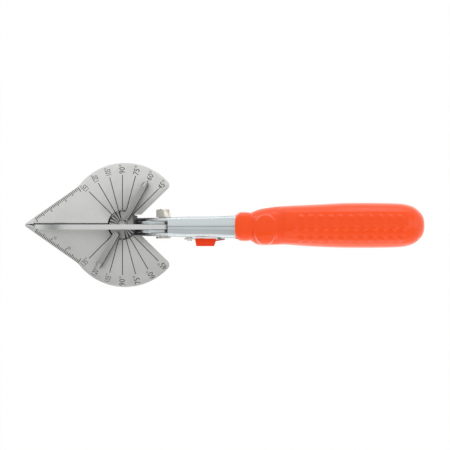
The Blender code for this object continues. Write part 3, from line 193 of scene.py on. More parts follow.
def make_finish(name, colour, metallic, roughness, stretch=(1.0, 1.0, 1.0), fineness=900.0,
                patch_scale=70.0, grain_tone=0.08, patch_tone=0.10, uneven=0.10, bump=0.02 * MM,
                wear=0.4, wear_colour=(0.82, 0.82, 0.80), dust=0.10, coat=0.0, specular=0.5, shade_fade=None,
                painted_dark_band=None, sheen=0.0):
    """A finish: colour and roughness vary with grain, patches, rubbed edges and dust, and its colour
    can carry painted shade along X.

    One painted shade gives two places along X and the share of the colour at the first of them;
    the other, a painted band of shade or of dark reflection, gives a place along X, its reach and
    the share of the colour lost there."""
    made = bpy.data.materials.new(name)
    made.use_nodes = True
    tree = made.node_tree
    shader = tree.nodes["Principled BSDF"]
    shader.inputs["Metallic"].default_value = metallic
    shader.inputs["Specular IOR Level"].default_value = specular
    shader.inputs["Coat Weight"].default_value = coat
    shader.inputs["Coat Roughness"].default_value = COAT_ROUGHNESS
    shader.inputs["Sheen Weight"].default_value = sheen
    shader.inputs["Sheen Roughness"].default_value = SHEEN_ROUGHNESS
    shader.inputs["Sheen Tint"].default_value = SHEEN_TINT

    def place_group(group, feeds):
        """The outputs of a group placed in this material with its own values."""
        placed = tree.nodes.new("ShaderNodeGroup")
        placed.node_tree = group
        for label, value in feeds.items():
            placed.inputs[label].default_value = value
        return placed.outputs

    grain = place_group(GRAIN_GROUP, {"Stretch": stretch, "Fineness": fineness, "Patch Scale": patch_scale})
    worn = place_group(WEAR_GROUP, {"Amount": wear})["Wear"]
    dust_mask = place_group(DUST_GROUP, {"Amount": dust})["Dust"]
    tone = add_math(tree, "MULTIPLY_ADD", grain["Grain"], grain_tone, 1.0 - grain_tone / 2)
    tone = add_math(tree, "MULTIPLY_ADD", grain["Patch"], patch_tone,
                    add_math(tree, "SUBTRACT", tone, patch_tone / 2))
    # painted shade: the colour is darkened along X by a band and by a fall towards one end
    if shade_fade or painted_dark_band:
        place = tree.nodes.new("ShaderNodeTexCoord").outputs["Object"]
        along = add_node(tree, "ShaderNodeSeparateXYZ", {0: place}).outputs[0]
    if painted_dark_band:
        off = add_math(tree, "DIVIDE", add_math(tree, "SUBTRACT", along, painted_dark_band[0]), painted_dark_band[1])
        squared = add_math(tree, "MULTIPLY", off, off)
        bell = add_math(tree, "EXPONENT", add_math(tree, "MULTIPLY", squared, -1.0))
        tone = add_math(tree, "MULTIPLY", tone, add_math(tree, "MULTIPLY_ADD", bell, -painted_dark_band[2], 1.0))
    if shade_fade:
        full = add_node(tree, "ShaderNodeMapRange", {"Value": along, "From Min": shade_fade[0], "From Max": shade_fade[1],
                                                     "To Min": shade_fade[2], "To Max": 1.0}).outputs[0]
        tone = add_math(tree, "MULTIPLY", tone, full)
    toned = add_node(tree, "ShaderNodeVectorMath", {0: colour, "Scale": tone}, operation="SCALE").outputs[0]
    rubbed = add_node(tree, "ShaderNodeMix", {0: worn, 6: toned, 7: (*wear_colour, 1.0)},
                      data_type="RGBA").outputs[2]
    dusted = add_node(tree, "ShaderNodeMix", {0: dust_mask, 6: rubbed, 7: DUST_COLOUR},
                      data_type="RGBA").outputs[2]
    tree.links.new(dusted, shader.inputs["Base Color"])
    rough = add_math(tree, "MULTIPLY_ADD", grain["Patch"], uneven, roughness - uneven / 2)
    rough = add_math(tree, "MULTIPLY_ADD", dust_mask, DUST_ROUGHNESS, rough)
    tree.links.new(rough, shader.inputs["Roughness"])
    bumped = add_node(tree, "ShaderNodeBump",
                      {"Height": grain["Grain"], "Distance": bump, "Strength": 0.6}).outputs[0]
    tree.links.new(bumped, shader.inputs["Normal"])
    return made


# the +Y half takes a lighter copy of the plated steel and the -Y half a darker one: painted light and shade
# on two plates of the same steel
PLATE_LIT_AND_SHADED_COLOURS = {1.0: (0.65, 0.645, 0.62), -1.0: (0.52, 0.515, 0.495)}
TABLE_STEEL_LIT_AND_SHADED = {side: make_finish("table_steel_%s" % word, PLATE_LIT_AND_SHADED_COLOURS[side], 1.0, 0.40,
                                 fineness=1500.0, patch_scale=75.0, grain_tone=0.16,
                                 patch_tone=0.26, uneven=0.16, wear=0.2)
               for side, word in ((1.0, "left"), (-1.0, "right"))}
ETCHED_MARK = make_finish("etched_mark", (0.035, 0.035, 0.032), 0.0, 0.75, fineness=2500.0,
                          grain_tone=0.5, patch_tone=0.3, wear=0.0, dust=0.05, specular=0.2)


def arc(centre, radius, start, end, steps):
    """Points along an arc, both ends included."""
    angles = [start + (end - start) * step / steps for step in range(steps + 1)]
    return [Vector((centre[0] + radius * math.cos(a), centre[1] + radius * math.sin(a))) for a in angles]


def new_piece(name, mesh, *materials):
    """An object at the origin for a mesh that is already in place."""
    made = bpy.data.objects.new(name, mesh)
    bpy.context.scene.collection.objects.link(made)
    for material in materials:
        mesh.materials.append(material)
    return made


def bm_piece(name, bm, *materials):
    """A smooth-shaded piece from a bmesh, its faces turned outwards."""
    bmesh.ops.remove_doubles(bm, verts=bm.verts[:], dist=MERGE_WITHIN)
    bmesh.ops.recalc_face_normals(bm, faces=bm.faces[:])
    mesh = bpy.data.meshes.new(name)
    bm.to_mesh(mesh)
    bm.free()
    mesh.shade_smooth()
    mesh.set_sharp_from_angle(angle=SMOOTH_ANGLE)
    return new_piece(name, mesh, *materials)


def skin_rings(rings):
    """A bmesh skin over rings of points, capped at both ends."""
    bm = bmesh.new()
    loops = [[bm.verts.new(point) for point in ring] for ring in rings]
    for first, second in zip(loops, loops[1:]):
        for i in range(len(first)):
            j = (i + 1) % len(first)
            bm.faces.new((first[i], first[j], second[j], second[i]))
    bm.faces.new(list(reversed(loops[0])))
    bm.faces.new(loops[-1])
    return bm


def settle(piece):
    """Makes a piece's live modifiers part of its plain mesh."""
    bpy.context.view_layer.update()
    depsgraph = bpy.context.evaluated_depsgraph_get()
    mesh = bpy.data.meshes.new_from_object(piece.evaluated_get(depsgraph))
    piece.modifiers.clear()
    piece.data = mesh
    mesh.shade_smooth()
    mesh.set_sharp_from_angle(angle=SMOOTH_ANGLE)
    return piece


def round_edges(piece, width, segments=2, limit=50):
    """Breaks a piece's sharp edges, as deburring or moulding does."""
    bevel = piece.modifiers.new("edges", "BEVEL")
    bevel.width = width
    bevel.segments = segments
    bevel.limit_method = "ANGLE"
    bevel.angle_limit = math.radians(limit)
    settle(piece)


def carve(piece, *cutters, keep_finish=True):
    """Cuts shapes out of a piece; the cut faces take the cutter's finish or the piece's own."""
    for cutter in cutters:
        change = piece.modifiers.new("cut", "BOOLEAN")
        change.operation = "DIFFERENCE"
        change.solver = "EXACT"
        change.object = cutter
        change.material_mode = "INDEX" if keep_finish else "TRANSFER"
    settle(piece)


def discard(*pieces):
    """Deletes pieces that were only there to cut or to be joined."""
    for piece in pieces:
        bpy.data.objects.remove(piece)


def dress(piece, body, node):
    """Says which body a piece moves with and the solid that it stands for."""
    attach(piece, body)
    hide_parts(node)


def set_inputs(modifier, values):
    """Sets a Geometry Nodes modifier's named inputs by their identifiers."""
    for item in modifier.node_group.interface.items_tree:
        if item.item_type == "SOCKET" and item.in_out == "INPUT" and item.name in values:
            modifier[item.identifier] = values[item.name]


def grow(name, tree, values, places=((0.0, 0.0, 0.0),)):
    """A plain mesh from a Geometry Nodes tree, fed with named values and with places."""
    mesh = bpy.data.meshes.new(name)
    mesh.from_pydata([tuple(place) for place in places], [], [])
    made = new_piece(name, mesh)
    modifier = made.modifiers.new("shape", "NODES")
    modifier.node_group = tree
    set_inputs(modifier, values)
    return settle(made)


def end_tree(tree, out, geometry, material):
    """The end of every tree here: instances made real, then the finish."""
    real = add_node(tree, "GeometryNodeRealizeInstances", {0: geometry}).outputs[0]
    done = add_node(tree, "GeometryNodeSetMaterial", {"Geometry": real, "Material": material}).outputs[0]
    tree.links.new(done, out[0])


def make_ruler_tree():
    """Ruler marks in a row along X that start on Y = 0: every fifth and tenth one is longer."""
    tree, given, out = new_group(
        "GeometryNodeTree", "ruler marks",
        [("Places", "NodeSocketGeometry", None), ("Count", "NodeSocketInt", 31),
         ("Spacing", "NodeSocketFloat", MM), ("Short", "NodeSocketFloat", MM),
         ("Middle", "NodeSocketFloat", MM), ("Long", "NodeSocketFloat", MM),
         ("Width", "NodeSocketFloat", MM), ("Depth", "NodeSocketFloat", MM),
         ("Material", "NodeSocketMaterial", None)],
        [("Geometry", "NodeSocketGeometry")])
    index = add_node(tree, "GeometryNodeInputIndex").outputs[0]
    step = add_node(tree, "ShaderNodeCombineXYZ", {0: given["Spacing"]}).outputs[0]
    row = add_node(tree, "GeometryNodeMeshLine", {"Count": given["Count"], "Offset": step}).outputs[0]

    def every(number):
        """1 at each mark whose place in the row is a multiple of a number."""
        return add_math(tree, "COMPARE", add_math(tree, "MODULO", index, float(number)), 0.0, 0.1)

    length = given["Short"]
    for number, label in ((5, "Middle"), (10, "Long")):
        length = add_node(tree, "ShaderNodeMix", {0: every(number), 2: length, 3: given[label]},
                          data_type="FLOAT").outputs[0]
    cube = add_node(tree, "GeometryNodeMeshCube").outputs[0]
    mark = add_node(tree, "GeometryNodeTransform", {0: cube, "Translation": (0.0, 0.5, 0.0)}).outputs[0]
    size = add_node(tree, "ShaderNodeCombineXYZ",
                    {0: given["Width"], 1: length, 2: given["Depth"]}).outputs[0]
    marks = add_node(tree, "GeometryNodeInstanceOnPoints",
                     {"Points": row, "Instance": mark, "Scale": size}).outputs[0]
    end_tree(tree, out, marks, given["Material"])
    return tree


def make_angle_line_tree():
    """Straight marks round the origin, a fixed step apart, that end a fixed way from the lobe's
    edge: the lobe is a circle whose centre lies off the origin by Along and Across."""
    tree, given, out = new_group(
        "GeometryNodeTree", "angle lines",
        [("Places", "NodeSocketGeometry", None), ("Count", "NodeSocketInt", 7),
         ("First", "NodeSocketFloat", 0.0), ("Step", "NodeSocketFloat", 0.1),
         ("Inner Radius", "NodeSocketFloat", MM), ("Outer Radius", "NodeSocketFloat", MM),
         ("Along", "NodeSocketFloat", 0.0), ("Across", "NodeSocketFloat", 0.0),
         ("Width", "NodeSocketFloat", MM), ("Depth", "NodeSocketFloat", MM),
         ("Material", "NodeSocketMaterial", None)],
        [("Geometry", "NodeSocketGeometry")])
    index = add_node(tree, "GeometryNodeInputIndex").outputs[0]
    row = add_node(tree, "GeometryNodeMeshLine",
                   {"Count": given["Count"], "Offset": (0.0, 0.0, 0.0)}).outputs[0]
    angle = add_math(tree, "MULTIPLY_ADD", index, given["Step"], given["First"])
    turn = add_node(tree, "ShaderNodeCombineXYZ", {2: angle}).outputs[0]
    along, across = add_math(tree, "COSINE", angle), add_math(tree, "SINE", angle)
    outer = add_math(tree, "MULTIPLY_ADD", along, given["Along"], given["Outer Radius"])
    outer = add_math(tree, "MULTIPLY_ADD", add_math(tree, "ABSOLUTE", across), given["Across"], outer)
    length = add_math(tree, "SUBTRACT", outer, given["Inner Radius"])
    foot = add_node(tree, "ShaderNodeCombineXYZ", {
        0: add_math(tree, "MULTIPLY", along, given["Inner Radius"]),
        1: add_math(tree, "MULTIPLY", across, given["Inner Radius"])}).outputs[0]
    placed = add_node(tree, "GeometryNodeSetPosition", {"Geometry": row, "Position": foot}).outputs[0]
    size = add_node(tree, "ShaderNodeCombineXYZ",
                    {0: length, 1: given["Width"], 2: given["Depth"]}).outputs[0]
    cube = add_node(tree, "GeometryNodeMeshCube").outputs[0]
    mark = add_node(tree, "GeometryNodeTransform",
                    {0: cube, "Translation": (0.5, 0.0, 0.0)}).outputs[0]
    marks = add_node(tree, "GeometryNodeInstanceOnPoints",
                     {"Points": placed, "Instance": mark, "Rotation": turn, "Scale": size}).outputs[0]
    end_tree(tree, out, marks, given["Material"])
    return tree


DIGIT_SHARE = 0.70


def text_cutter(name, words, height, width_share, place, turn):
    """Digits as a cutter that is centred on a place on the table's top face."""
    curve = bpy.data.curves.new(name, "FONT")
    curve.body = words
    curve.size = height / DIGIT_SHARE
    curve.align_x = "CENTER"
    curve.align_y = "CENTER"
    curve.extrude = (ETCH_DEPTH + ETCH_OVER) / 2
    curve.resolution_u = 3
    holder = bpy.data.objects.new(name + "_curve", curve)
    bpy.context.scene.collection.objects.link(holder)
    bpy.context.view_layer.update()
    mesh = bpy.data.meshes.new_from_object(holder.evaluated_get(bpy.context.evaluated_depsgraph_get()))
    bpy.data.objects.remove(holder)
    lift = TABLE_TOP - ETCH_DEPTH + curve.extrude
    mesh.transform(Matrix.Translation((place[0], place[1], lift)) @ Matrix.Rotation(turn, 4, "Z")
                   @ Matrix.Diagonal((width_share, 1.0, 1.0, 1.0)))
    bm = bmesh.new()
    bm.from_mesh(mesh)
    mesh.materials.clear()
    return bm_piece(name, bm, ETCHED_MARK)


def join_meshes(name, pieces, *materials):
    """One piece that holds the closed shapes of several, which are then deleted."""
    bm = bmesh.new()
    for piece in pieces:
        bm.from_mesh(piece.data)
    mesh = bpy.data.meshes.new(name)
    bm.to_mesh(mesh)
    bm.free()
    discard(*pieces)
    return new_piece(name, mesh, *materials)


def fillet(line_point, line_angle, radius, outside):
    """A fillet between an edge line and the lobe: its centre, and its angles on both."""
    along = Vector((math.cos(line_angle), math.sin(line_angle)))
    normal = Vector((-along.y, along.x))
    reach = LOBE_RADIUS + radius if outside else LOBE_RADIUS - radius
    start = line_point + normal * radius - LOBE_CENTRE
    middle = start.dot(along)
    span = math.sqrt(middle * middle - start.length_squared + reach * reach)
    centre = LOBE_CENTRE + start + along * (-middle - span if outside else -middle + span)
    to_arc = (centre - LOBE_CENTRE) * (-1.0 if outside else 1.0)
    return centre, math.atan2(-normal.y, -normal.x), math.atan2(to_arc.y, to_arc.x)


def table_outline(slot):
    """The plate on the +Y side, from the tip round the lobe and back along the hub and the slot."""
    waist, waist_line, waist_lobe = fillet(TIP, RULER_ANGLE, WAIST_FILLET, True)
    rear, rear_line, rear_lobe = fillet(REAR_NOTCH, REAR_ANGLE, REAR_CORNER, False)
    lobe_start = math.atan2(waist.y - LOBE_CENTRE.y, waist.x - LOBE_CENTRE.x)
    outline = [Vector((TIP.x + TIP_CLOSED + TIP_TAPER, slot)), Vector((TIP.x + TIP_CLOSED, TIP_GAP)),
               Vector((TIP.x + TIP_CHAMFER, TIP_GAP)), TIP]
    outline += arc(waist, WAIST_FILLET, waist_line, waist_lobe, WAIST_STEPS)
    outline += arc(LOBE_CENTRE, LOBE_RADIUS, lobe_start, rear_lobe, LOBE_STEPS)[1:]
    outline += arc(rear, REAR_CORNER, rear_lobe, rear_line, REAR_STEPS)[1:]
    outline.append(REAR_NOTCH)
    outline += arc(HUB, HUB_HOLE, math.asin(REAR_NOTCH.y / HUB_HOLE),
                   math.pi - math.asin(slot / HUB_HOLE), HUB_STEPS)
    return outline


to_lobe = LOBE_CENTRE - TIP
RULER_ANGLE = (math.atan2(to_lobe.y, to_lobe.x)
               + math.asin(LOBE_RADIUS * RULER_LINE_SHARE / to_lobe.length))
WAIST_STEPS, LOBE_STEPS, REAR_STEPS, HUB_STEPS = 12, 84, 10, 40
lobe_shift = LOBE_CENTRE - HUB
MARKED_ANGLES = range(45, 136, 15)
LABEL_IN = 3.5 * MM
LINE_END_IN = 6.8 * MM
RULER_START = 6.8 * MM
RULER_EDGE_GAP = 0.30 * MM
RULER_MARKS = {"Count": 31, "Spacing": 1.0 * MM, "Short": 1.6 * MM, "Middle": 2.3 * MM,
               "Long": 3.0 * MM, "Width": 0.42 * MM, "Depth": ETCH_DEPTH + ETCH_OVER,
               "Material": ETCHED_MARK}
ANGLE_LINES = {"Count": len(MARKED_ANGLES), "Step": math.radians(MARKED_ANGLES.step),
               "Inner Radius": HUB_HOLE - ETCH_OVER, "Outer Radius": LOBE_RADIUS - LINE_END_IN,
               "Along": lobe_shift.x, "Across": lobe_shift.y, "Width": 0.46 * MM,
               "Depth": ETCH_DEPTH + ETCH_OVER, "Material": ETCHED_MARK}
SLOT_AT_FLAT = 0.95 * MM
TIP_CLOSED = 3.9 * MM
TIP_TAPER = 1.1 * MM
TIP_GAP = 0.08 * MM
TIP_CHAMFER = 0.1 * MM
TIP_SEAM = (0.7 * MM, 4.1 * MM)
TIP_SEAM_WIDTH = 0.75 * MM
LABEL_HEIGHT = 3.2 * MM
LABEL_WIDTH_SHARES = {2: 0.86, 3: 0.60}
RULER_NUMBERS = (10, 20)
RULER_LABEL_PLACE = Vector((1.0, 4.2)) * MM
RULER_LABEL_HEIGHT = 1.7 * MM
RULER_LABEL_WIDTH_SHARE = 0.8
ruler_tree = make_ruler_tree()
angle_line_tree = make_angle_line_tree()
mark_middle = TABLE_TOP + (ETCH_OVER - ETCH_DEPTH) / 2

for side, half_name, slot in ((1.0, "table_half_left", SLOT_AT_FLAT), (-1.0, "table_half_right", TIP.y)):
    edge_points = [Vector((p.x, side * p.y)) for p in table_outline(slot)]
    plate = bm_piece(half_name + "_plate",
                     skin_rings([[(p.x, p.y, z) for p in edge_points] for z in (table_low.z, TABLE_TOP)]),
                     TABLE_STEEL_LIT_AND_SHADED[side])
    round_edges(plate, PLATE_EDGE)
    # the ruler, laid along the front edge with its marks pointing in
    ruler = grow("ruler", ruler_tree, RULER_MARKS)
    along = Matrix.Rotation(RULER_ANGLE, 4, "Z")
    start = along @ Vector((RULER_START, -RULER_EDGE_GAP, 0.0))
    ruler.data.transform(Matrix.Translation((TIP.x, TIP.y, mark_middle)) @ Matrix.Translation(start)
                         @ along @ Matrix.Diagonal((1.0, -1.0, 1.0, 1.0)))
    ruler.data.transform(Matrix.Diagonal((1.0, side, 1.0, 1.0)))
    lines = grow("angle_lines", angle_line_tree,
                 {**ANGLE_LINES, "First": side * math.radians(MARKED_ANGLES.start),
                  "Step": side * ANGLE_LINES["Step"]})
    lines.data.transform(Matrix.Translation((HUB.x, HUB.y, mark_middle)))
    labels = []
    for number in MARKED_ANGLES:
        angle = side * math.radians(number)
        outward = Vector((math.cos(angle), math.sin(angle)))
        reach = LOBE_RADIUS + lobe_shift.x * outward.x + lobe_shift.y * abs(outward.y) - LABEL_IN
        labels.append(text_cutter("angle_%d" % number, "%d°" % number, LABEL_HEIGHT,
                                  LABEL_WIDTH_SHARES[len(str(number))], HUB + outward * reach,
                                  angle if side > 0 else angle + math.pi))
    if side < 0:
        for number in RULER_NUMBERS:
            reach = Vector((RULER_START + number * MM, 0.0)) + RULER_LABEL_PLACE
            place = Vector((TIP.x, -TIP.y)) + Matrix.Rotation(-RULER_ANGLE, 2) @ reach
            labels.append(text_cutter("ruler_%d" % number, str(number), RULER_LABEL_HEIGHT,
                                      RULER_LABEL_WIDTH_SHARE, place, -RULER_ANGLE))
    if side > 0:
        # the seam of the two halves shows dark up to the tip: a strip of painted shade for the narrow gap,
        # cut in with the etched marks' dark finish
        rings = [[(x, y, z) for x, y in ((TIP.x + TIP_SEAM[0], -MM), (TIP.x + TIP_SEAM[1], -MM),
                                         (TIP.x + TIP_SEAM[1], TIP_SEAM_WIDTH),
                                         (TIP.x + TIP_SEAM[0], TIP_SEAM_WIDTH / 2))]
                 for z in (TABLE_TOP - ETCH_DEPTH, TABLE_TOP + ETCH_OVER)]
        lines = join_meshes("angle_lines", [lines, bm_piece("tip_seam_painted_shade", skin_rings(rings), ETCHED_MARK)],
                            ETCHED_MARK)
    for marks in (ruler, lines, join_meshes("labels", labels, ETCHED_MARK)):
        bm = bmesh.new()
        bm.from_mesh(marks.data)
        bmesh.ops.recalc_face_normals(bm, faces=bm.faces[:])
        bm.to_mesh(marks.data)
        bm.free()
        carve(plate, marks, keep_finish=False)
        discard(marks)
    dress(plate, "table_lever", half_name)

# Index disc, fence arms and the screws that hold them. The disc is a steel washer with V-grooves
# every 15 degrees that click on the bracket; two ground bars stand on it as the fence,
# screwed from below, and a screw through the middle runs down to the clamp knob.
disc_low, disc_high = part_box("index_disc")
arm_low, arm_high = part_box("fence_arm_left")
FENCE_TURN = math.radians(60)
DISC_RADIUS = disc_high.y
SCREW_BORE = 2.3 * MM
# Radius and depth of a sunk seat
SCREW_SINK = (3.2 * MM, 2.1 * MM)
GROOVE_START = 0.6 * MM
GROOVE_DEPTH = 0.45 * MM
GROOVE_HALF_ANGLE = math.radians(4.0)
GROOVE_STEP = math.radians(15)
GROOVES_IN_SECTOR = 6
SECTOR_STARTS = (105, 285)
WEDGE_OVERRUN = 1.5
DISC_EDGE = 0.25 * MM
ARM_SCREW_AT = 6.3 * MM
ARM_SCREW_BORE = 1.0 * MM
ARM_SCREW_SINK = (1.45 * MM, 1.3 * MM)
BORE_IN_DISC, BORE_IN_ARM = 4.0 * MM, 7.2 * MM
ARM_WIDTH = 3.2 * MM
ARM_INSET = 5.4 * MM
ARM_LENGTH = LOBE_RADIUS - ARM_INSET
ARM_ROOTS = {"fence_arm_left": (1.0, 3.4 * MM), "fence_arm_right": (-1.0, 4.9 * MM)}
ARM_EDGE = 0.5 * MM
ARM_SLOPE = 2.6 * MM
ARM_END_STEPS = 16
UNDER_CUT = 10 * MM
STEEP_BELOW = 0.3
FIT_GAP = 0.3 * MM

# the disc's colour falls to a tenth from 5.2 to 6.8 mm past the hub towards +X: painted shadow under the
# upper lever's front
DISC_STEEL = make_finish("disc_steel", (0.37, 0.37, 0.355), 1.0, 0.38, fineness=1500.0,
                         patch_scale=160.0, grain_tone=0.2, patch_tone=0.3,
                         shade_fade=(HUB.x + 6.8 * MM, HUB.x + 5.2 * MM, 0.10))
ARM_STEEL = make_finish("arm_steel", (0.33, 0.33, 0.31), 1.0, 0.42, fineness=1600.0,
                        grain_tone=0.16, patch_tone=0.2, wear=1.2, wear_colour=(0.95, 0.95, 0.92))
# the bars' steep faces take this near-black copy of their steel: painted shade
ARM_SIDE_PAINTED_SHADE = make_finish("arm_side_painted_shade", (0.05, 0.05, 0.05), 1.0, 0.5, fineness=1600.0, wear=0.0)
# the V-grooves' faces take a darker copy of the disc's steel: painted shade in the grooves
GROOVE_PAINTED_SHADE = make_finish("groove_painted_shade", (0.20, 0.20, 0.19), 1.0, 0.45, fineness=1600.0, wear=0.0)
HUB_SCREW_STEEL = make_finish("hub_screw_steel", (0.34, 0.34, 0.33), 1.0, 0.42, fineness=2200.0,
                              patch_scale=300.0, grain_tone=0.12, patch_tone=0.16)
SCREW_STEEL = make_finish("screw_steel", (0.60, 0.57, 0.51), 1.0, 0.32, fineness=2200.0,
                          patch_scale=300.0, grain_tone=0.12, patch_tone=0.16)


def face_out(piece):
    """Merges doubles and turns every face outwards."""
    bm = bmesh.new()
    bm.from_mesh(piece.data)
    bmesh.ops.remove_doubles(bm, verts=bm.verts[:], dist=MERGE_WITHIN)
    bmesh.ops.recalc_face_normals(bm, faces=bm.faces[:])
    bm.to_mesh(piece.data)
    bm.free()
    piece.data.shade_smooth()
    piece.data.set_sharp_from_angle(angle=SMOOTH_ANGLE)
    return piece


FLUTE_RUN_OUT = 0.3 * MM


def make_lathe_tree():
    """Spins a profile of points (radius on X, height on Z) round an axis; flutes run down its rim."""
    tree, given, out = new_group(
        "GeometryNodeTree", "turned on a lathe",
        [("Profile", "NodeSocketGeometry", None), ("Sides", "NodeSocketInt", 48),
         ("Flutes", "NodeSocketFloat", 0.0), ("Flute Depth", "NodeSocketFloat", 0.0),
         ("Flutes From", "NodeSocketFloat", 1.0), ("Place", "NodeSocketVector", (0.0, 0.0, 0.0)),
         ("Turn", "NodeSocketVector", (0.0, 0.0, 0.0)), ("Material", "NodeSocketMaterial", None)],
        [("Geometry", "NodeSocketGeometry")])
    count = add_node(tree, "GeometryNodeAttributeDomainSize", {0: given["Profile"]}).outputs["Point Count"]
    spokes = add_math(tree, "ADD", given["Sides"], 1.0)
    sheet = add_node(tree, "GeometryNodeMeshGrid", {"Vertices X": spokes, "Vertices Y": count}).outputs[0]
    index = add_node(tree, "GeometryNodeInputIndex").outputs[0]
    on_profile = add_math(tree, "MODULO", index, count)
    spoke = add_math(tree, "FLOOR", add_math(tree, "DIVIDE", add_math(tree, "ADD", index, 0.5), count))
    place = add_node(tree, "GeometryNodeInputPosition").outputs[0]
    sampled = add_node(tree, "GeometryNodeSampleIndex",
                       {"Geometry": given["Profile"], "Index": on_profile}, data_type="FLOAT_VECTOR")
    tree.links.new(place, sampled.inputs["Value"])
    split = add_node(tree, "ShaderNodeSeparateXYZ", {0: sampled.outputs[0]}).outputs
    angle = add_math(tree, "DIVIDE", add_math(tree, "MULTIPLY", spoke, math.tau), given["Sides"])
    wave = add_math(tree, "COSINE", add_math(tree, "MULTIPLY", angle, given["Flutes"]))
    valley = add_math(tree, "MULTIPLY_ADD", wave, -0.5, 0.5)
    beyond = add_math(tree, "MAXIMUM", add_math(tree, "SUBTRACT", split[0], given["Flutes From"]), 0.0)
    rim = add_math(tree, "MINIMUM", add_math(tree, "DIVIDE", beyond, FLUTE_RUN_OUT), 1.0)
    cut_in = add_math(tree, "MULTIPLY", add_math(tree, "MULTIPLY", valley, given["Flute Depth"]), rim)
    radius = add_math(tree, "SUBTRACT", split[0], cut_in)
    moved = add_node(tree, "ShaderNodeCombineXYZ", {
        0: add_math(tree, "MULTIPLY", radius, add_math(tree, "COSINE", angle)),
        1: add_math(tree, "MULTIPLY", radius, add_math(tree, "SINE", angle)), 2: split[2]}).outputs[0]
    spun = add_node(tree, "GeometryNodeSetPosition", {"Geometry": sheet, "Position": moved}).outputs[0]
    merged = add_node(tree, "GeometryNodeMergeByDistance",
                      {"Geometry": spun, "Distance": MERGE_WITHIN}).outputs[0]
    stood = add_node(tree, "GeometryNodeTransform",
                     {0: merged, "Translation": given["Place"], "Rotation": given["Turn"]}).outputs[0]
    end_tree(tree, out, stood, given["Material"])
    return tree


lathe_tree = make_lathe_tree()
UPWARDS, DOWNWARDS = (0.0, 0.0, 0.0), (math.pi, 0.0, 0.0)
TO_NUT_SIDE = (-math.pi / 2, 0.0, 0.0)
DOME_STEPS = 6


def lathe(name, profile, place, turn, material, sides=48, **flutes):
    """A turned piece: its profile runs from end to end as (radius, height) along its axis."""
    made = grow(name, lathe_tree, {"Sides": sides, "Place": tuple(place), "Turn": turn,
                                   "Material": material, **flutes},
                [(radius, 0.0, height) for radius, height in profile])
    return face_out(made)


def metres(row):
    """A row of sizes given in millimetres."""
    return tuple(value * MM for value in row)


def domed_head(radius, height, base=0.0):
    """Profile of a domed head from its crown on the axis down to its rim."""
    return [(radius * math.sin(a), base - height * math.cos(a))
            for a in [math.pi / 2 * step / DOME_STEPS for step in range(DOME_STEPS + 1)]]


def screw_profile(tall, head, dome, head_depth, shank, point, tip):
    """Profile of a screw from the crown of its domed head down to its blunt tip."""
    return domed_head(head, dome, dome) + [(head, head_depth), (shank, head_depth),
                                           (shank, tall - point), (tip, tall), (0.0, tall)]


def make_wedge_tree():
    """Pyramids laid round the Z axis, points inwards and one ridge down, to cut V-grooves with."""
    tree, given, out = new_group(
        "GeometryNodeTree", "groove wedges",
        [("Places", "NodeSocketGeometry", None), ("Count", "NodeSocketInt", 6),
         ("First", "NodeSocketFloat", 0.0), ("Step", "NodeSocketFloat", 0.1),
         ("Start Radius", "NodeSocketFloat", MM), ("Length", "NodeSocketFloat", MM),
         ("Depth", "NodeSocketFloat", MM), ("Half Width", "NodeSocketFloat", MM),
         ("Material", "NodeSocketMaterial", None)],
        [("Geometry", "NodeSocketGeometry")])
    index = add_node(tree, "GeometryNodeInputIndex").outputs[0]
    row = add_node(tree, "GeometryNodeMeshLine",
                   {"Count": given["Count"], "Offset": (0.0, 0.0, 0.0)}).outputs[0]
    angle = add_math(tree, "MULTIPLY_ADD", index, given["Step"], given["First"])
    turn = add_node(tree, "ShaderNodeCombineXYZ", {2: angle}).outputs[0]
    pyramid = add_node(tree, "GeometryNodeMeshCone", {
        "Vertices": 4, "Radius Top": 0.0, "Radius Bottom": given["Depth"],
        "Depth": given["Length"]}).outputs[0]
    end_radius = add_math(tree, "ADD", given["Start Radius"], given["Length"])
    share = add_math(tree, "DIVIDE", given["Half Width"], given["Depth"])
    narrow = add_node(tree, "ShaderNodeCombineXYZ", {0: 1.0, 1: share, 2: 1.0}).outputs[0]
    laid = add_node(tree, "GeometryNodeTransform", {
        0: pyramid, "Rotation": (0.0, -math.pi / 2, 0.0), "Scale": (1.0, 1.0, 1.0),
        "Translation": add_node(tree, "ShaderNodeCombineXYZ", {0: end_radius}).outputs[0]}).outputs[0]
    thin = add_node(tree, "GeometryNodeTransform", {0: laid, "Scale": narrow}).outputs[0]
    wedges = add_node(tree, "GeometryNodeInstanceOnPoints",
                      {"Points": row, "Instance": thin, "Rotation": turn}).outputs[0]
    end_tree(tree, out, wedges, given["Material"])
    return tree


wedge_tree = make_wedge_tree()
disc = lathe("index_disc_turned", [
    (SCREW_BORE, disc_low.z), (DISC_RADIUS - DISC_EDGE, disc_low.z),
    (DISC_RADIUS, disc_low.z + DISC_EDGE), (DISC_RADIUS, disc_high.z - DISC_EDGE),
    (DISC_RADIUS - DISC_EDGE, disc_high.z), (SCREW_SINK[0], disc_high.z),
    (SCREW_SINK[0], disc_high.z - SCREW_SINK[1]), (SCREW_BORE, disc_high.z - SCREW_SINK[1]),
    (SCREW_BORE, disc_low.z)], (HUB.x, HUB.y, 0.0), UPWARDS, DISC_STEEL, sides=144)
reach = DISC_RADIUS - GROOVE_START
WEDGES = {"Count": GROOVES_IN_SECTOR, "Step": GROOVE_STEP, "Start Radius": GROOVE_START,
          "Length": reach * WEDGE_OVERRUN, "Depth": GROOVE_DEPTH * WEDGE_OVERRUN,
          "Half Width": DISC_RADIUS * math.tan(GROOVE_HALF_ANGLE) * WEDGE_OVERRUN,
          "Material": GROOVE_PAINTED_SHADE}
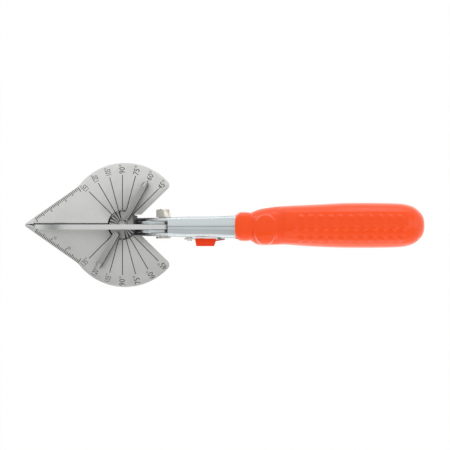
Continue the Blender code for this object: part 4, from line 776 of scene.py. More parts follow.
for first in SECTOR_STARTS:
    wedges = face_out(grow("wedges", wedge_tree, {**WEDGES, "First": math.radians(first)}))
    wedges.data.transform(Matrix.Translation((HUB.x, HUB.y, disc_high.z)))
    carve(disc, wedges, keep_finish=False)
    discard(wedges)
fence_line = Vector((math.cos(FENCE_TURN), math.sin(FENCE_TURN)))
arm_screws = [HUB + fence_line * side * ARM_SCREW_AT for side in (1.0, -1.0)]
for place in arm_screws:
    hole = lathe("hole", [(0.0, -MM), (ARM_SCREW_SINK[0], -MM), ARM_SCREW_SINK,
                          (ARM_SCREW_BORE, ARM_SCREW_SINK[1]), (ARM_SCREW_BORE, BORE_IN_DISC),
                          (0.0, BORE_IN_DISC)],
                 (place.x, place.y, disc_low.z), UPWARDS, DISC_STEEL, sides=24)
    carve(disc, hole)
    discard(hole)
dress(disc, "fence", "index_disc")

for arm_name, (side, root) in ARM_ROOTS.items():
    half = ARM_WIDTH / 2
    root_end = arc((root + half, 0.0), half, math.pi / 2, math.pi * 3 / 2, ARM_END_STEPS)
    # the outer end is ground to a slope
    rings = [[(p.x, p.y, z) for p in root_end + arc((ARM_LENGTH - half - back, 0.0), half,
                                                    -math.pi / 2, math.pi / 2, ARM_END_STEPS)]
             for z, back in ((arm_low.z, 0.0), (arm_high.z - ARM_SLOPE, 0.0), (arm_high.z, ARM_SLOPE))]
    arm = bm_piece(arm_name + "_bar", skin_rings(rings), ARM_STEEL)
    # beyond the disc it clears the table's top face
    bm = bmesh.new()
    bmesh.ops.create_cube(bm, size=1.0, matrix=Matrix.Translation(
        (DISC_RADIUS - FIT_GAP + ARM_LENGTH / 2, 0.0, TABLE_TOP + FIT_GAP - UNDER_CUT / 2))
        @ Matrix.Diagonal((ARM_LENGTH, ARM_WIDTH * 2, UNDER_CUT, 1.0)))
    under = bm_piece("under", bm, ARM_STEEL)
    hole = lathe("hole", [(0.0, 0.0), (ARM_SCREW_BORE, 0.0), (ARM_SCREW_BORE, BORE_IN_ARM),
                          (0.0, BORE_IN_ARM)],
                 (ARM_SCREW_AT, 0.0, disc_low.z), UPWARDS, ARM_STEEL, sides=24)
    carve(arm, under, hole)
    discard(under, hole)
    round_edges(arm, ARM_EDGE, segments=3)
    # the steep faces take the painted shade
    arm.data.materials.append(ARM_SIDE_PAINTED_SHADE)
    for face in arm.data.polygons:
        if abs(face.normal.z) < STEEP_BELOW:
            face.material_index = 1
    turn = Matrix.Rotation(FENCE_TURN + (0.0 if side > 0 else math.pi), 4, "Z")
    arm.data.transform(Matrix.Translation((HUB.x, HUB.y, 0.0)) @ turn)
    dress(arm, "fence", arm_name)

for number, place in enumerate(arm_screws, 1):
    low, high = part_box("fence_screw_%d" % number)
    dress(lathe("fence_screw_%d_pan" % number,
                screw_profile(high.z - low.z, head=1.15 * MM, dome=0.25 * MM, head_depth=1.0 * MM,
                              shank=0.7 * MM, point=0.2 * MM, tip=0.5 * MM),
                (place.x, place.y, low.z), UPWARDS, SCREW_STEEL, sides=32),
          "fence", "fence_screw_%d" % number)


# Each row: height as a share of the recess's depth, and length as a share of its own
CROSS_TAPER = ((-1.0, 0.35), (0.5, 1.15))


def cut_cross(screw, width, length, depth, place):
    """Cuts a tapered cross recess into a screw's head; place moves its mouth there, facing up."""
    for spin in (0.0, math.pi / 2):
        rings = [[(x * share, y, depth * rise) for x, y in ((-length, -width), (length, -width),
                                                            (length, width), (-length, width))]
                 for rise, share in CROSS_TAPER]
        recess = bm_piece("recess", skin_rings(rings), SCREW_STEEL)
        recess.data.transform(place @ Matrix.Rotation(spin, 4, "Z"))
        carve(screw, recess)
        discard(recess)


low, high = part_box("fence_pivot_screw")
screw = lathe("fence_pivot_screw_turned",
              screw_profile(high.z - low.z, head=2.9 * MM, dome=0.35 * MM, head_depth=1.5 * MM,
                            shank=2.0 * MM, point=0.4 * MM, tip=1.6 * MM),
              (HUB.x, HUB.y, high.z), DOWNWARDS, HUB_SCREW_STEEL)
cut_cross(screw, width=0.35 * MM, length=1.7 * MM, depth=1.0 * MM,
          place=Matrix.Translation((HUB.x, HUB.y, high.z)) @ Matrix.Rotation(FENCE_TURN, 4, "Z"))
dress(screw, "fence", "fence_pivot_screw")

# Blade: one hardened steel knife, flat on the nut's side and ground to a long bevel on the other.
# It drops into the slot between the table halves and is riveted between the lower lever's walls.
blade_low, blade_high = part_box("blade")
PIVOT = Vector((-32.5, -1.1, 30.0)) * MM
BLADE_REACH = 75.0 * MM
BLADE_HEEL = 9.4 * MM
BLADE_HEIGHT = blade_high.z - blade_low.z
BEVEL_HEIGHT = 6.5 * MM
BEVEL_END = PIVOT.x - 11.6 * MM
BEVEL_OVERRUN = 1.5 * MM
EDGE_LAND = 0.15 * MM
# Each row: way from the pivot as a share of the reach or the heel, and height as a share of its own
BLADE_NOSE = ((0.153, 0.93), (0.44, 0.797), (0.705, 0.66), (0.780, 0.62), (0.845, 0.55), (0.900, 0.45),
              (0.945, 0.33), (0.976, 0.21), (0.994, 0.09), (1.0, 0.0))
BLADE_BACK = ((0.08, 1.0), (0.44, 0.94), (0.74, 0.76), (1.0, 0.50), (1.0, 0.22), (0.68, 0.02))
HEEL_FOOT = 0.64
CURVE_STEPS = 6
PIVOT_BORE = 2.8 * MM
RIVET_BORE = 1.8 * MM
RIVET_SHANK = 1.5 * MM
# Rivet places, along and up, then radius and distance from the middle of a half rivet, in mm
BLADE_RIVETS = ((-39.53, 33.0), (-25.87, 29.0))
BLADE_RIVET_HALF = ((0.0, 3.25), (1.3, 3.25), (1.5, 3.0))
HOLE_FROM, HOLE_TO = -10.0 * MM, 8.0 * MM

# a band 94 mm along the spine is darkened: painted dark reflection on the curved nose
BLADE_STEEL = make_finish("blade_steel", (0.60, 0.60, 0.59), 1.0, 0.30, stretch=(1.0, 1.0, 0.05),
                          fineness=1100.0, patch_scale=60.0, grain_tone=0.16, patch_tone=0.28, uneven=0.2,
                          painted_dark_band=(-94.0 * MM, 5.0 * MM, 0.36))


def smooth_through(rows):
    """Points on a curve through rows of (along, up) that keeps their bends soft."""
    points = [Vector(row) for row in rows]
    made = []
    for i in range(len(points) - 1):
        before = points[i - 1] if i else points[0] * 2 - points[1]
        after = points[i + 2] if i + 2 < len(points) else points[-1] * 2 - points[-2]
        for step in range(CURVE_STEPS):
            t = step / CURVE_STEPS
            made.append(0.5 * (2 * points[i] + (points[i + 1] - before) * t
                               + (2 * before - 5 * points[i] + 4 * points[i + 1] - after) * t * t
                               + (3 * points[i] - before - 3 * points[i + 1] + after) * t ** 3))
    return made + [points[-1]]


nose = [(PIVOT.x - a * BLADE_REACH, blade_low.z + min(u, 1.0) * BLADE_HEIGHT)
        for a, u in smooth_through(BLADE_NOSE)]
back = [(PIVOT.x + a * BLADE_HEEL, blade_low.z + min(u, 1.0) * BLADE_HEIGHT)
        for a, u in smooth_through(BLADE_BACK)]
outline = list(reversed(nose)) + back + [(PIVOT.x - HEEL_FOOT * BLADE_HEEL, blade_low.z)]
blade = bm_piece("blade_ground", skin_rings([[(x, y, z) for x, z in outline]
                                             for y in (blade_low.y, blade_high.y)]), BLADE_STEEL)
slope = (blade_high.y - blade_low.y - EDGE_LAND) / BEVEL_HEIGHT
section = [(blade_high.y - EDGE_LAND + slope * BEVEL_OVERRUN, blade_low.z - BEVEL_OVERRUN),
           (blade_low.y - slope * BEVEL_OVERRUN, blade_low.z + BEVEL_HEIGHT + BEVEL_OVERRUN),
           (blade_low.y - slope * BEVEL_OVERRUN, blade_low.z - BEVEL_OVERRUN)]
bevel = bm_piece("bevel", skin_rings([[(x, y, z) for y, z in section]
                                      for x in (blade_low.x - BEVEL_OVERRUN, BEVEL_END)]), BLADE_STEEL)


def cross_hole(x, z, radius, y_high=HOLE_TO):
    """A round cutter along Y."""
    return lathe("hole", [(0.0, HOLE_FROM), (radius, HOLE_FROM), (radius, y_high), (0.0, y_high)],
                 (x, 0.0, z), TO_NUT_SIDE, BLADE_STEEL, sides=40)


cutters = [bevel, cross_hole(PIVOT.x, PIVOT.z, PIVOT_BORE)]
cutters += [cross_hole(*metres(place), RIVET_BORE) for place in BLADE_RIVETS]
carve(blade, *cutters)
discard(*cutters)
round_edges(blade, 0.1 * MM, segments=1, limit=60)
dress(blade, "blade_lever", "blade")
half_profile = [metres(row) for row in BLADE_RIVET_HALF]
for number, (x, z) in enumerate(BLADE_RIVETS, 1):
    dress(lathe("blade_rivet_%d_flush" % number, [(r, -h) for r, h in half_profile] + half_profile[::-1],
                (x * MM, PIVOT.y, z * MM), TO_NUT_SIDE, SCREW_STEEL, sides=32),
          "blade_lever", "blade_rivet_%d" % number)

# Levers: each is two shells pressed from steel sheet that meet in a fine seam along the ridge.
# The upper one ends in two jaw walls round the jaw block; its ridge stops behind the pivot,
# which leaves a window over the lower lever's inner walls.
grip_low, grip_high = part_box("upper_grip")
LEVER_DEPTH = 10.0 * MM
TO_GRIP = 40.2 * MM
GRIP_X = grip_low.x
GRIP_LENGTH = grip_high.x - grip_low.x
GRIP_FRONT_Z = PIVOT.z + 11.15 * MM
GRIP_TOP_Z = grip_high.z
GRIP_RISE = 9.5 * MM
SHEET = 1.6 * MM
CORNER = 2.4 * MM
CROWN = 0.45 * MM
TANG = 47.0 * MM
INNER_IN, INNER_OUT, OUTER_IN, OUTER_OUT = 1.44 * MM, 3.25 * MM, 3.29 * MM, 5.15 * MM
CHANNEL_FLARE, MOUTH_FLARE = 0.6 * MM, 1.2 * MM
SHEET_EDGE, SEAM_GAP = 0.15 * MM, 0.02 * MM
BEND_STEPS = 8
CROWN_SHARES = (0.35, 0.7)
# Where a lever widens: start and length of each stretch, as shares of the way to the grip
MOUTH_STRETCH, UPPER_STRETCH, LOWER_STRETCH = (0.545, 0.455), (0.0, 0.311), (0.400, 0.145)
# Each row of the next two: place along, low edge and high edge; of the third: place along and rise
UPPER_ROWS = ((-0.229, -1.80, 0.80), (-0.137, -1.65, 1.15), (0.0, -1.30, 1.34), (0.112, -0.95, 1.40),
              (0.311, -0.25, 1.46), (0.535, 0.15, 1.52))
LOWER_ROWS = ((-0.305, -0.36, 0.50), (-0.285, -0.60, 0.74), (-0.245, -0.77, 0.90), (-0.137, -0.90, 1.03),
              (0.0, -1.00, 1.05), (0.075, -1.05, 0.92), (0.162, -1.11, 0.60), (0.311, -1.20, 0.04),
              (0.410, -1.24, 0.04), (0.435, -1.25, -0.18), (0.535, -1.29, -0.20))
GRIP_RISE_ROWS = ((0.0, 0.0), (0.083, 0.14), (0.142, 0.25), (0.219, 0.39), (0.334, 0.60), (0.419, 0.73),
                  (0.501, 0.84), (0.588, 0.93), (0.693, 0.985), (0.789, 1.0), (0.875, 1.0), (1.0, 0.97))

LEVER_STEEL = make_finish("lever_steel", (0.54, 0.58, 0.59), 1.0, 0.34, stretch=(0.06, 1.0, 1.0),
                          fineness=1300.0, patch_scale=45.0, grain_tone=0.10, patch_tone=0.10,
                          uneven=0.12, wear=0.3)


def between_rows(rows, place, column=1):
    """Value of a table's column at a place, on a curve that never overshoots its rows."""
    along = np.array([row[0] for row in rows])
    value = np.array([row[column] for row in rows])
    step = np.diff(along)
    rise = np.diff(value) / step
    slope = np.zeros_like(value)
    slope[0], slope[-1] = rise[0], rise[-1]
    for i in range(1, len(rows) - 1):
        if rise[i - 1] * rise[i] > 0:
            first, second = 2 * step[i] + step[i - 1], step[i] + 2 * step[i - 1]
            slope[i] = (first + second) / (first / rise[i - 1] + second / rise[i])
    place = np.clip(place, along[0], along[-1])
    i = np.clip(np.searchsorted(along, place) - 1, 0, len(rows) - 2)
    t = (place - along[i]) / step[i]
    return (value[i] * (1 + 2 * t) * (1 - t) ** 2 + slope[i] * step[i] * t * (1 - t) ** 2
            + value[i + 1] * t * t * (3 - 2 * t) + slope[i + 1] * step[i] * t * t * (t - 1))


def grip_centre(x, upper):
    """Height of a grip's centre line; the lower grip mirrors the upper one."""
    rise = between_rows(GRIP_RISE_ROWS, (x - GRIP_X) / GRIP_LENGTH) * GRIP_RISE
    return GRIP_FRONT_Z + rise if upper else GRIP_TOP_Z - GRIP_FRONT_Z - rise


def lever_edges(x, upper):
    """Low and high edge of a lever's sheet."""
    if x >= GRIP_X:
        centre = float(grip_centre(x, upper))
        return centre - LEVER_DEPTH / 2, centre + LEVER_DEPTH / 2
    mouth_low = (float(grip_centre(GRIP_X, upper)) - LEVER_DEPTH / 2 - PIVOT.z) / LEVER_DEPTH
    rows = (UPPER_ROWS if upper else LOWER_ROWS) + ((1.0, mouth_low, mouth_low + 1.0),)
    along = (x - PIVOT.x) / TO_GRIP
    return tuple(PIVOT.z + float(between_rows(rows, along, column)) * LEVER_DEPTH for column in (1, 2))


def lever_half_width(x, upper):
    """Outer half width of a lever's sheet."""
    along = (x - PIVOT.x) / TO_GRIP

    def through(stretch):
        """How much of a stretch lies behind the place, from 0 to 1."""
        return float(np.clip((along - stretch[0]) / stretch[1], 0.0, 1.0))

    to_mouth = through(MOUTH_STRETCH) ** 2 * (MOUTH_FLARE - CHANNEL_FLARE)
    if upper:
        return OUTER_OUT + CHANNEL_FLARE * through(UPPER_STRETCH) + to_mouth
    to_channel = through(LOWER_STRETCH)
    return INNER_OUT + (OUTER_OUT + CHANNEL_FLARE - INNER_OUT) * to_channel + to_mouth


# The pressed edge rolls down into the seam, more on the nut's side: distance out and depth, in mm
SEAM_ROLL = {1.0: ((0.02, 0.75), (0.06, 0.50), (0.14, 0.28), (0.26, 0.13), (0.42, 0.04), (0.62, 0.0)),
             -1.0: ((0.02, 0.32), (0.04, 0.20), (0.07, 0.11), (0.11, 0.05), (0.16, 0.015), (0.22, 0.0))}


def shell_ring(x, side, upper, low, high):
    """Section of one pressed shell: half the ridge, a rounded corner and one wall."""
    half = lever_half_width(x, upper)
    turn_y = half - CORNER
    section = [(out * MM, down * MM) for out, down in SEAM_ROLL[side]]
    rolled = section[-1][0]
    section += [(rolled + (turn_y - rolled) * t, CROWN * t * t) for t in CROWN_SHARES]
    angles = [math.pi / 2 * step / BEND_STEPS for step in range(BEND_STEPS + 1)]
    section += [(turn_y + CORNER * math.sin(a), CROWN + CORNER * (1.0 - math.cos(a))) for a in angles]
    section += [(half, high - low - SHEET_EDGE), (half - SHEET_EDGE, high - low),
                (half - SHEET + SHEET_EDGE, high - low), (half - SHEET, high - low - SHEET_EDGE)]
    inner = CORNER - SHEET
    section += [(turn_y + inner * math.sin(a), CROWN + CORNER - inner * math.cos(a)) for a in angles[::-2]]
    section.append((SEAM_GAP, SHEET))
    return [(x, PIVOT.y + side * out, high - down if upper else low + down) for out, down in section]


def finely(first, last, step):
    """Even stations from a first to a last place, about a step apart."""
    return list(np.linspace(first, last, max(int(round((last - first) / step)), 1) + 1))


JAW_Z = (10.0 * MM, 16.4 * MM)
JAW_FRONT = PIVOT.x - 49.5 * MM
JAW_NOSE, JAW_NOSE_LIFT = 4 * MM, 2.2 * MM
JAW_BACK = 12.5 * MM
WALL_BACK = -UPPER_ROWS[0][0] * TO_GRIP
LOWER_NOSE, LOWER_NOSE_END = PIVOT.x + LOWER_ROWS[0][0] * TO_GRIP, PIVOT.x - 0.2 * TO_GRIP
STATIONS = 9
UPPER_STEP, LOWER_STEP, LOWER_NOSE_STEP, TANG_STEP = 1.0 * MM, 0.8 * MM, 0.3 * MM, 2.0 * MM

# the jaw walls have a rounded nose and rise into the lever's walls
upper_stations = []
for x in JAW_FRONT + JAW_NOSE * (1 - np.cos(np.linspace(0, math.pi / 2, STATIONS))):
    lean = math.acos(1.0 - (x - JAW_FRONT) / JAW_NOSE)
    upper_stations.append((x, JAW_Z[0] + JAW_NOSE_LIFT * (1.0 - math.sin(lean)), JAW_Z[1]))
upper_stations.append((PIVOT.x - JAW_BACK, *JAW_Z))
wall_start = PIVOT.x - WALL_BACK
low, high = lever_edges(wall_start, True)
for t in np.linspace(0.0, 1.0, STATIONS)[1:-1]:
    ease = t * t * (3 - 2 * t)
    upper_stations.append((PIVOT.x - JAW_BACK + (JAW_BACK - WALL_BACK) * t,
                           JAW_Z[0] + (low - JAW_Z[0]) * ease, JAW_Z[1] + (high - JAW_Z[1]) * t))
tang_places = finely(GRIP_X, GRIP_X + TANG, TANG_STEP)[1:]
places = finely(wall_start, GRIP_X, UPPER_STEP) + tang_places
upper_stations += [(x, *lever_edges(x, True)) for x in places]
places = finely(LOWER_NOSE, LOWER_NOSE_END, LOWER_NOSE_STEP)
places += finely(LOWER_NOSE_END, GRIP_X, LOWER_STEP)[1:] + tang_places
lower_stations = [(x, *lever_edges(x, False)) for x in places]


def block(name, x_range, y_range, z_range, material):
    """A plain block to cut with."""
    rings = [[(x, y, z) for x, y in ((x_range[0], y_range[0]), (x_range[1], y_range[0]),
                                     (x_range[1], y_range[1]), (x_range[0], y_range[1]))] for z in z_range]
    return bm_piece(name, skin_rings(rings), material)


# the upper shells' faces in front of the jaw's end take a near-black copy of the lever steel: painted shade
# under the table
JAW_PAINTED_SHADE = make_finish("jaw_painted_shade", (0.05, 0.05, 0.053), 1.0, 0.45, stretch=(0.06, 1.0, 1.0),
                        fineness=1300.0, patch_tone=0.3, wear=0.3, wear_colour=(0.32, 0.31, 0.30),
                        dust=0.03)
JAW_SHADED_TO = PIVOT.x - 10.6 * MM
WINDOW_START, WINDOW_END = JAW_FRONT - 2 * MM, PIVOT.x + 2.9 * MM
INNER_MOUTH_END = PIVOT.x + 9 * MM
# a darker copy of the lever steel that falls to 0.3 towards the jaw: painted shade on the upward faces beside
# the window
RIM_PAINTED_SHADE = make_finish("rim_painted_shade", (0.46, 0.47, 0.47), 1.0, 0.38, stretch=(0.06, 1.0, 1.0),
                        fineness=1300.0, patch_tone=0.2, wear=0.3,
                        shade_fade=(JAW_SHADED_TO, WINDOW_END - 4 * MM, 0.30))
RIM_FACES_UP = 0.15
# Places of rivets and pins, along or along and up, in mm
JAW_ROOM = 25.7
JAW_RIVET_SHARES = (0.28, 0.654)
JAW_RIVETS = [HUB_ALONG - share * JAW_ROOM for share in JAW_RIVET_SHARES]
JAW_RIVET_Z = 13.2 * MM
STOP_PIN = (-17.95, 32.2)
LATCH_EYE = (-17.505, 38.6)
LATCH_BORE = 1.6 * MM
CATCH_PIN = (-0.98, 23.6)
CATCH_BORE = 1.5 * MM
EYE_HOLE_TO, CATCH_HOLE_TO = -2 * MM, -4 * MM
all_heights = (-5 * MM, 80 * MM)
for side, word in ((1.0, "left"), (-1.0, "right")):
    upper = bm_piece("upper_shell_%s_pressed" % word,
                     skin_rings([shell_ring(x, side, True, low, high) for x, low, high in upper_stations]),
                     LEVER_STEEL)
    cutters = [block("window", (WINDOW_START, WINDOW_END), (PIVOT.y - OUTER_IN, PIVOT.y + OUTER_IN),
                     all_heights, LEVER_STEEL),
               cross_hole(PIVOT.x, PIVOT.z, PIVOT_BORE), cross_hole(*metres(STOP_PIN), RIVET_BORE)]
    cutters += [cross_hole(x * MM, JAW_RIVET_Z, RIVET_BORE) for x in JAW_RIVETS]
    if side < 0:
        cutters.append(cross_hole(*metres(LATCH_EYE), LATCH_BORE, EYE_HOLE_TO))
    carve(upper, *cutters)
    discard(*cutters)
    # the jaw's faces, and the upward faces beside the window, take painted shade
    upper.data.materials.append(JAW_PAINTED_SHADE)
    upper.data.materials.append(RIM_PAINTED_SHADE)
    for polygon in upper.data.polygons:
        if polygon.center.x < JAW_SHADED_TO:
            polygon.material_index = 1
        elif polygon.center.x < WINDOW_END and polygon.normal.z > RIM_FACES_UP:
            polygon.material_index = 2
    dress(upper, "table_lever", "upper_shell_" + word)
    lower = bm_piece("lower_shell_%s_pressed" % word,
                     skin_rings([shell_ring(x, side, False, low, high) for x, low, high in lower_stations]),
                     LEVER_STEEL)
    cutters = [block("mouth", (PIVOT.x - TO_GRIP, INNER_MOUTH_END),
                     (PIVOT.y - INNER_IN, PIVOT.y + INNER_IN), all_heights, LEVER_STEEL),
               cross_hole(PIVOT.x, PIVOT.z, PIVOT_BORE)]
    cutters += [cross_hole(*metres(place), RIVET_BORE) for place in BLADE_RIVETS]
    if side < 0:
        cutters.append(cross_hole(*metres(CATCH_PIN), CATCH_BORE, CATCH_HOLE_TO))
    carve(lower, *cutters)
    discard(*cutters)
    dress(lower, "blade_lever", "lower_shell_" + word)

# Pivot bolt with its flat head, its hex nut, the jaw rivets and the stop pin: plated steel,
# turned and headed, all through the levers from side to side.
REACH = OUTER_OUT + FIT_GAP
NUT_FLATS = 8.0 * MM
NUT_THICK = 4.4 * MM
NUT_FACE_SHARE = 0.97
CHAMFER_SHARE = 0.35
FORM_SLANT = 0.1 * MM
NUT_BORE_TO = 12 * MM
# Each row: radius, and height over the shells, in mm
BOLT_HEAD = ((0.0, 1.1), (3.85, 1.1), (4.12, 0.98), (4.2, 0.75), (4.2, 0.0))
BOLT_SHANK, BOLT_TIP = 2.5 * MM, 2.1 * MM
BOLT_POINT = 0.4 * MM
BOLT_OVER_NUT = 0.3 * MM
# Radius and height of a head
JAW_RIVET_HEAD = (2.6 * MM, 1.1 * MM)
PIN_HEAD = (2.3 * MM, 0.8 * MM)
PIN_HALF = 6.05 * MM
PIN_EDGE = 0.15 * MM
# the colour drops by a fifth about 3.2 mm before the pivot: painted shade on the left facets of the nut and
# the bolt's ends
BOLT_STEEL = make_finish("bolt_steel", (0.62, 0.59, 0.53), 1.0, 0.24, fineness=2200.0,
                         patch_scale=260.0, grain_tone=0.10, patch_tone=0.14,
                         painted_dark_band=(PIVOT.x - 3.2 * MM, 2.6 * MM, 0.20))
bolt_end = REACH + NUT_THICK + BOLT_OVER_NUT
dress(lathe("pivot_bolt_turned",
            [(r * MM, -REACH - h * MM) for r, h in BOLT_HEAD] + [
                (BOLT_SHANK, -REACH), (BOLT_SHANK, bolt_end - BOLT_POINT), (BOLT_TIP, bolt_end),
                (0.0, bolt_end)],
            PIVOT, TO_NUT_SIDE, BOLT_STEEL, sides=72),
      "table_lever", "pivot_bolt")
corner = NUT_FLATS / math.sqrt(3)
nut = bm_piece("pivot_nut_chamfered", skin_rings([
    [(PIVOT.x + corner * math.cos(a), y, PIVOT.z + corner * math.sin(a))
     for a in [math.radians(30 + 60 * k) for k in range(6)]]
    for y in (PIVOT.y + REACH, PIVOT.y + REACH + NUT_THICK)]), BOLT_STEEL)
nut_face = NUT_FLATS / 2 * NUT_FACE_SHARE
chamfer = (corner - nut_face) * CHAMFER_SHARE
# the hexagon is turned down to this form, which chamfers its corners
form = lathe("form", [(0.0, REACH), (nut_face, REACH), (corner, REACH + chamfer),
                      (corner + MM, REACH + chamfer + FORM_SLANT),
                      (corner + MM, REACH + NUT_THICK - chamfer - FORM_SLANT),
                      (corner, REACH + NUT_THICK - chamfer), (nut_face, REACH + NUT_THICK),
                      (0.0, REACH + NUT_THICK)], PIVOT, TO_NUT_SIDE, BOLT_STEEL, sides=72)
change = nut.modifiers.new("form", "BOOLEAN")
change.operation, change.solver, change.object = "INTERSECT", "EXACT", form
settle(nut)
bore = cross_hole(PIVOT.x, PIVOT.z, PIVOT_BORE, NUT_BORE_TO)
carve(nut, bore)
discard(form, bore)
round_edges(nut, 0.12 * MM, segments=2, limit=35)
dress(nut, "table_lever", "pivot_nut")

crowned = domed_head(*JAW_RIVET_HEAD, -REACH)
profile = crowned + [(RIVET_SHANK, -REACH), (RIVET_SHANK, REACH)] + [(r, -h) for r, h in reversed(crowned)]
for number, x in enumerate(JAW_RIVETS, 1):
    dress(lathe("jaw_rivet_%d_domed" % number, profile, (x * MM, PIVOT.y, JAW_RIVET_Z), TO_NUT_SIDE,
                SCREW_STEEL),
          "table_lever", "jaw_rivet_%d" % number)
flush = PIN_HALF - FIT_GAP
profile = domed_head(*PIN_HEAD, -PIN_HALF) + [(RIVET_SHANK, -PIN_HALF), (RIVET_SHANK, flush - PIN_EDGE),
                                              (RIVET_SHANK - PIN_EDGE, flush), (0.0, flush)]
dress(lathe("stop_pin_domed", profile, (STOP_PIN[0] * MM, PIVOT.y, STOP_PIN[1] * MM), TO_NUT_SIDE,
            SCREW_STEEL),
      "table_lever", "stop_pin")

# Return spring between its two pressed seats: hard-drawn wire wound in seven turns that lie
# closer at both ends.
seat_low, seat_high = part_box("spring_seat_lower")[0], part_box("spring_seat_upper")[1]
SPRING_X = PIVOT.x + 0.66 * TO_GRIP
SEAT_FLANGE = 1.4
# Each row: radius, and height over the lever's sheet, in mm
SEAT_ROWS = ((0.0, 0.0), (3.6, 0.0), (3.6, 1.1), (3.3, SEAT_FLANGE), (2.2, SEAT_FLANGE), (2.0, 1.6),
             (2.0, 5.0), (1.6, 5.4), (0.0, 5.4))
SEAT_PROFILE = [metres(row) for row in SEAT_ROWS]
SEAT_STEEL = make_finish("seat_steel", (0.24, 0.24, 0.25), 1.0, 0.42, fineness=1800.0, patch_tone=0.3)
SPRING_STEEL = make_finish("spring_steel", (0.62, 0.60, 0.56), 1.0, 0.28, fineness=2400.0, patch_tone=0.2)
SPRING_WIRE = 1.1 * MM
SPRING_RADIUS = 3.2 * MM
SPRING_TURNS = 7
STEPS_A_TURN = 36
END_PITCH = 1.7 * MM
END_TURNS = 0.75
dress(lathe("spring_seat_lower_pressed", SEAT_PROFILE, (SPRING_X, PIVOT.y, seat_low.z), UPWARDS,
            SEAT_STEEL),
      "blade_lever", "spring_seat_lower")
dress(lathe("spring_seat_upper_pressed", SEAT_PROFILE, (SPRING_X, PIVOT.y, seat_high.z), DOWNWARDS,
            SEAT_STEEL),
      "table_lever", "spring_seat_upper")


def make_coil_tree():
    """A wire wound round the Z axis from a foot to a head height, its end turns lying closer."""
    tree, given, out = new_group(
        "GeometryNodeTree", "wound spring",
        [("Places", "NodeSocketGeometry", None), ("Turns", "NodeSocketFloat", 7.0),
         ("Points", "NodeSocketInt", 253), ("Radius", "NodeSocketFloat", MM), ("Wire", "NodeSocketFloat", MM),
         ("Foot", "NodeSocketFloat", 0.0), ("Head", "NodeSocketFloat", 0.01),
         ("End Pitch", "NodeSocketFloat", MM), ("End Turns", "NodeSocketFloat", 0.75),
         ("Material", "NodeSocketMaterial", None)],
        [("Geometry", "NodeSocketGeometry")])
    index = add_node(tree, "GeometryNodeInputIndex").outputs[0]
    row = add_node(tree, "GeometryNodeMeshLine", {"Count": given["Points"]}).outputs[0]
    share = add_math(tree, "DIVIDE", index, add_math(tree, "SUBTRACT", given["Points"], 1.0))
    turns = add_math(tree, "MULTIPLY", share, given["Turns"])
    left = add_math(tree, "SUBTRACT", given["Turns"], turns)
    end_rise = add_math(tree, "MULTIPLY", given["End Pitch"], given["End Turns"])
    middle_low = add_math(tree, "ADD", given["Foot"], end_rise)
    middle_high = add_math(tree, "SUBTRACT", given["Head"], end_rise)
    middle_turns = add_math(tree, "MULTIPLY_ADD", given["End Turns"], -2.0, given["Turns"])
    part = add_math(tree, "DIVIDE", add_math(tree, "SUBTRACT", turns, given["End Turns"]), middle_turns)
    middle_rise = add_math(tree, "SUBTRACT", middle_high, middle_low)
    middle = add_math(tree, "MULTIPLY_ADD", part, middle_rise, middle_low)
    from_foot = add_math(tree, "MULTIPLY_ADD", turns, given["End Pitch"], given["Foot"])
    left_rise = add_math(tree, "MULTIPLY", left, given["End Pitch"])
    from_head = add_math(tree, "SUBTRACT", given["Head"], left_rise)
    height = add_math(tree, "MINIMUM", add_math(tree, "MAXIMUM", from_foot, middle), from_head)
    angle = add_math(tree, "MULTIPLY", turns, math.tau)
    place = add_node(tree, "ShaderNodeCombineXYZ", {
        0: add_math(tree, "MULTIPLY", given["Radius"], add_math(tree, "COSINE", angle)),
        1: add_math(tree, "MULTIPLY", given["Radius"], add_math(tree, "SINE", angle)), 2: height}).outputs[0]
    wound = add_node(tree, "GeometryNodeSetPosition", {"Geometry": row, "Position": place}).outputs[0]
    path = add_node(tree, "GeometryNodeMeshToCurve", {0: wound}).outputs[0]
    round_wire = add_node(tree, "GeometryNodeCurvePrimitiveCircle", {
        "Resolution": 14, "Radius": add_math(tree, "MULTIPLY", given["Wire"], 0.5)}).outputs[0]
    wire = add_node(tree, "GeometryNodeCurveToMesh", {"Curve": path, "Profile Curve": round_wire,
                                                      "Fill Caps": True}).outputs[0]
    end_tree(tree, out, wire, given["Material"])
    return tree


foot = seat_low.z + SEAT_FLANGE * MM + FIT_GAP + SPRING_WIRE / 2
head = seat_high.z - SEAT_FLANGE * MM - FIT_GAP - SPRING_WIRE / 2
spring = grow("return_spring_wound", make_coil_tree(), {
    "Turns": float(SPRING_TURNS), "Points": SPRING_TURNS * STEPS_A_TURN + 1, "Radius": SPRING_RADIUS,
    "Wire": SPRING_WIRE, "Foot": foot, "Head": head, "End Pitch": END_PITCH, "End Turns": END_TURNS,
    "Material": SPRING_STEEL})
spring.data.transform(Matrix.Translation((SPRING_X, PIVOT.y, 0.0)))
face_out(spring)
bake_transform(spring)
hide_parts("return_spring")

# Safety latch: a steel strip riveted outside the -Y wall, hooked at its foot for the pin in the
# lower lever, with a moulded red tab over its top edge for the thumb that thins out to a tail.
strip_low, strip_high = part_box("latch_plate")
tab_low, tab_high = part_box("latch_tab")
EYE_RADIUS = 2.9 * MM
LATCH_TAIL = 19.8 * MM
LATCH_SWING = math.radians(30)
PIN_RADIUS = 1.2 * MM
HOOK_WIDTH = 2.6 * MM
HOOK_LIP = 0.6 * MM
HOOK_STEPS, EYE_STEPS = 16, 20
EYE_END = math.radians(243)
HOOK_FROM = 0.073
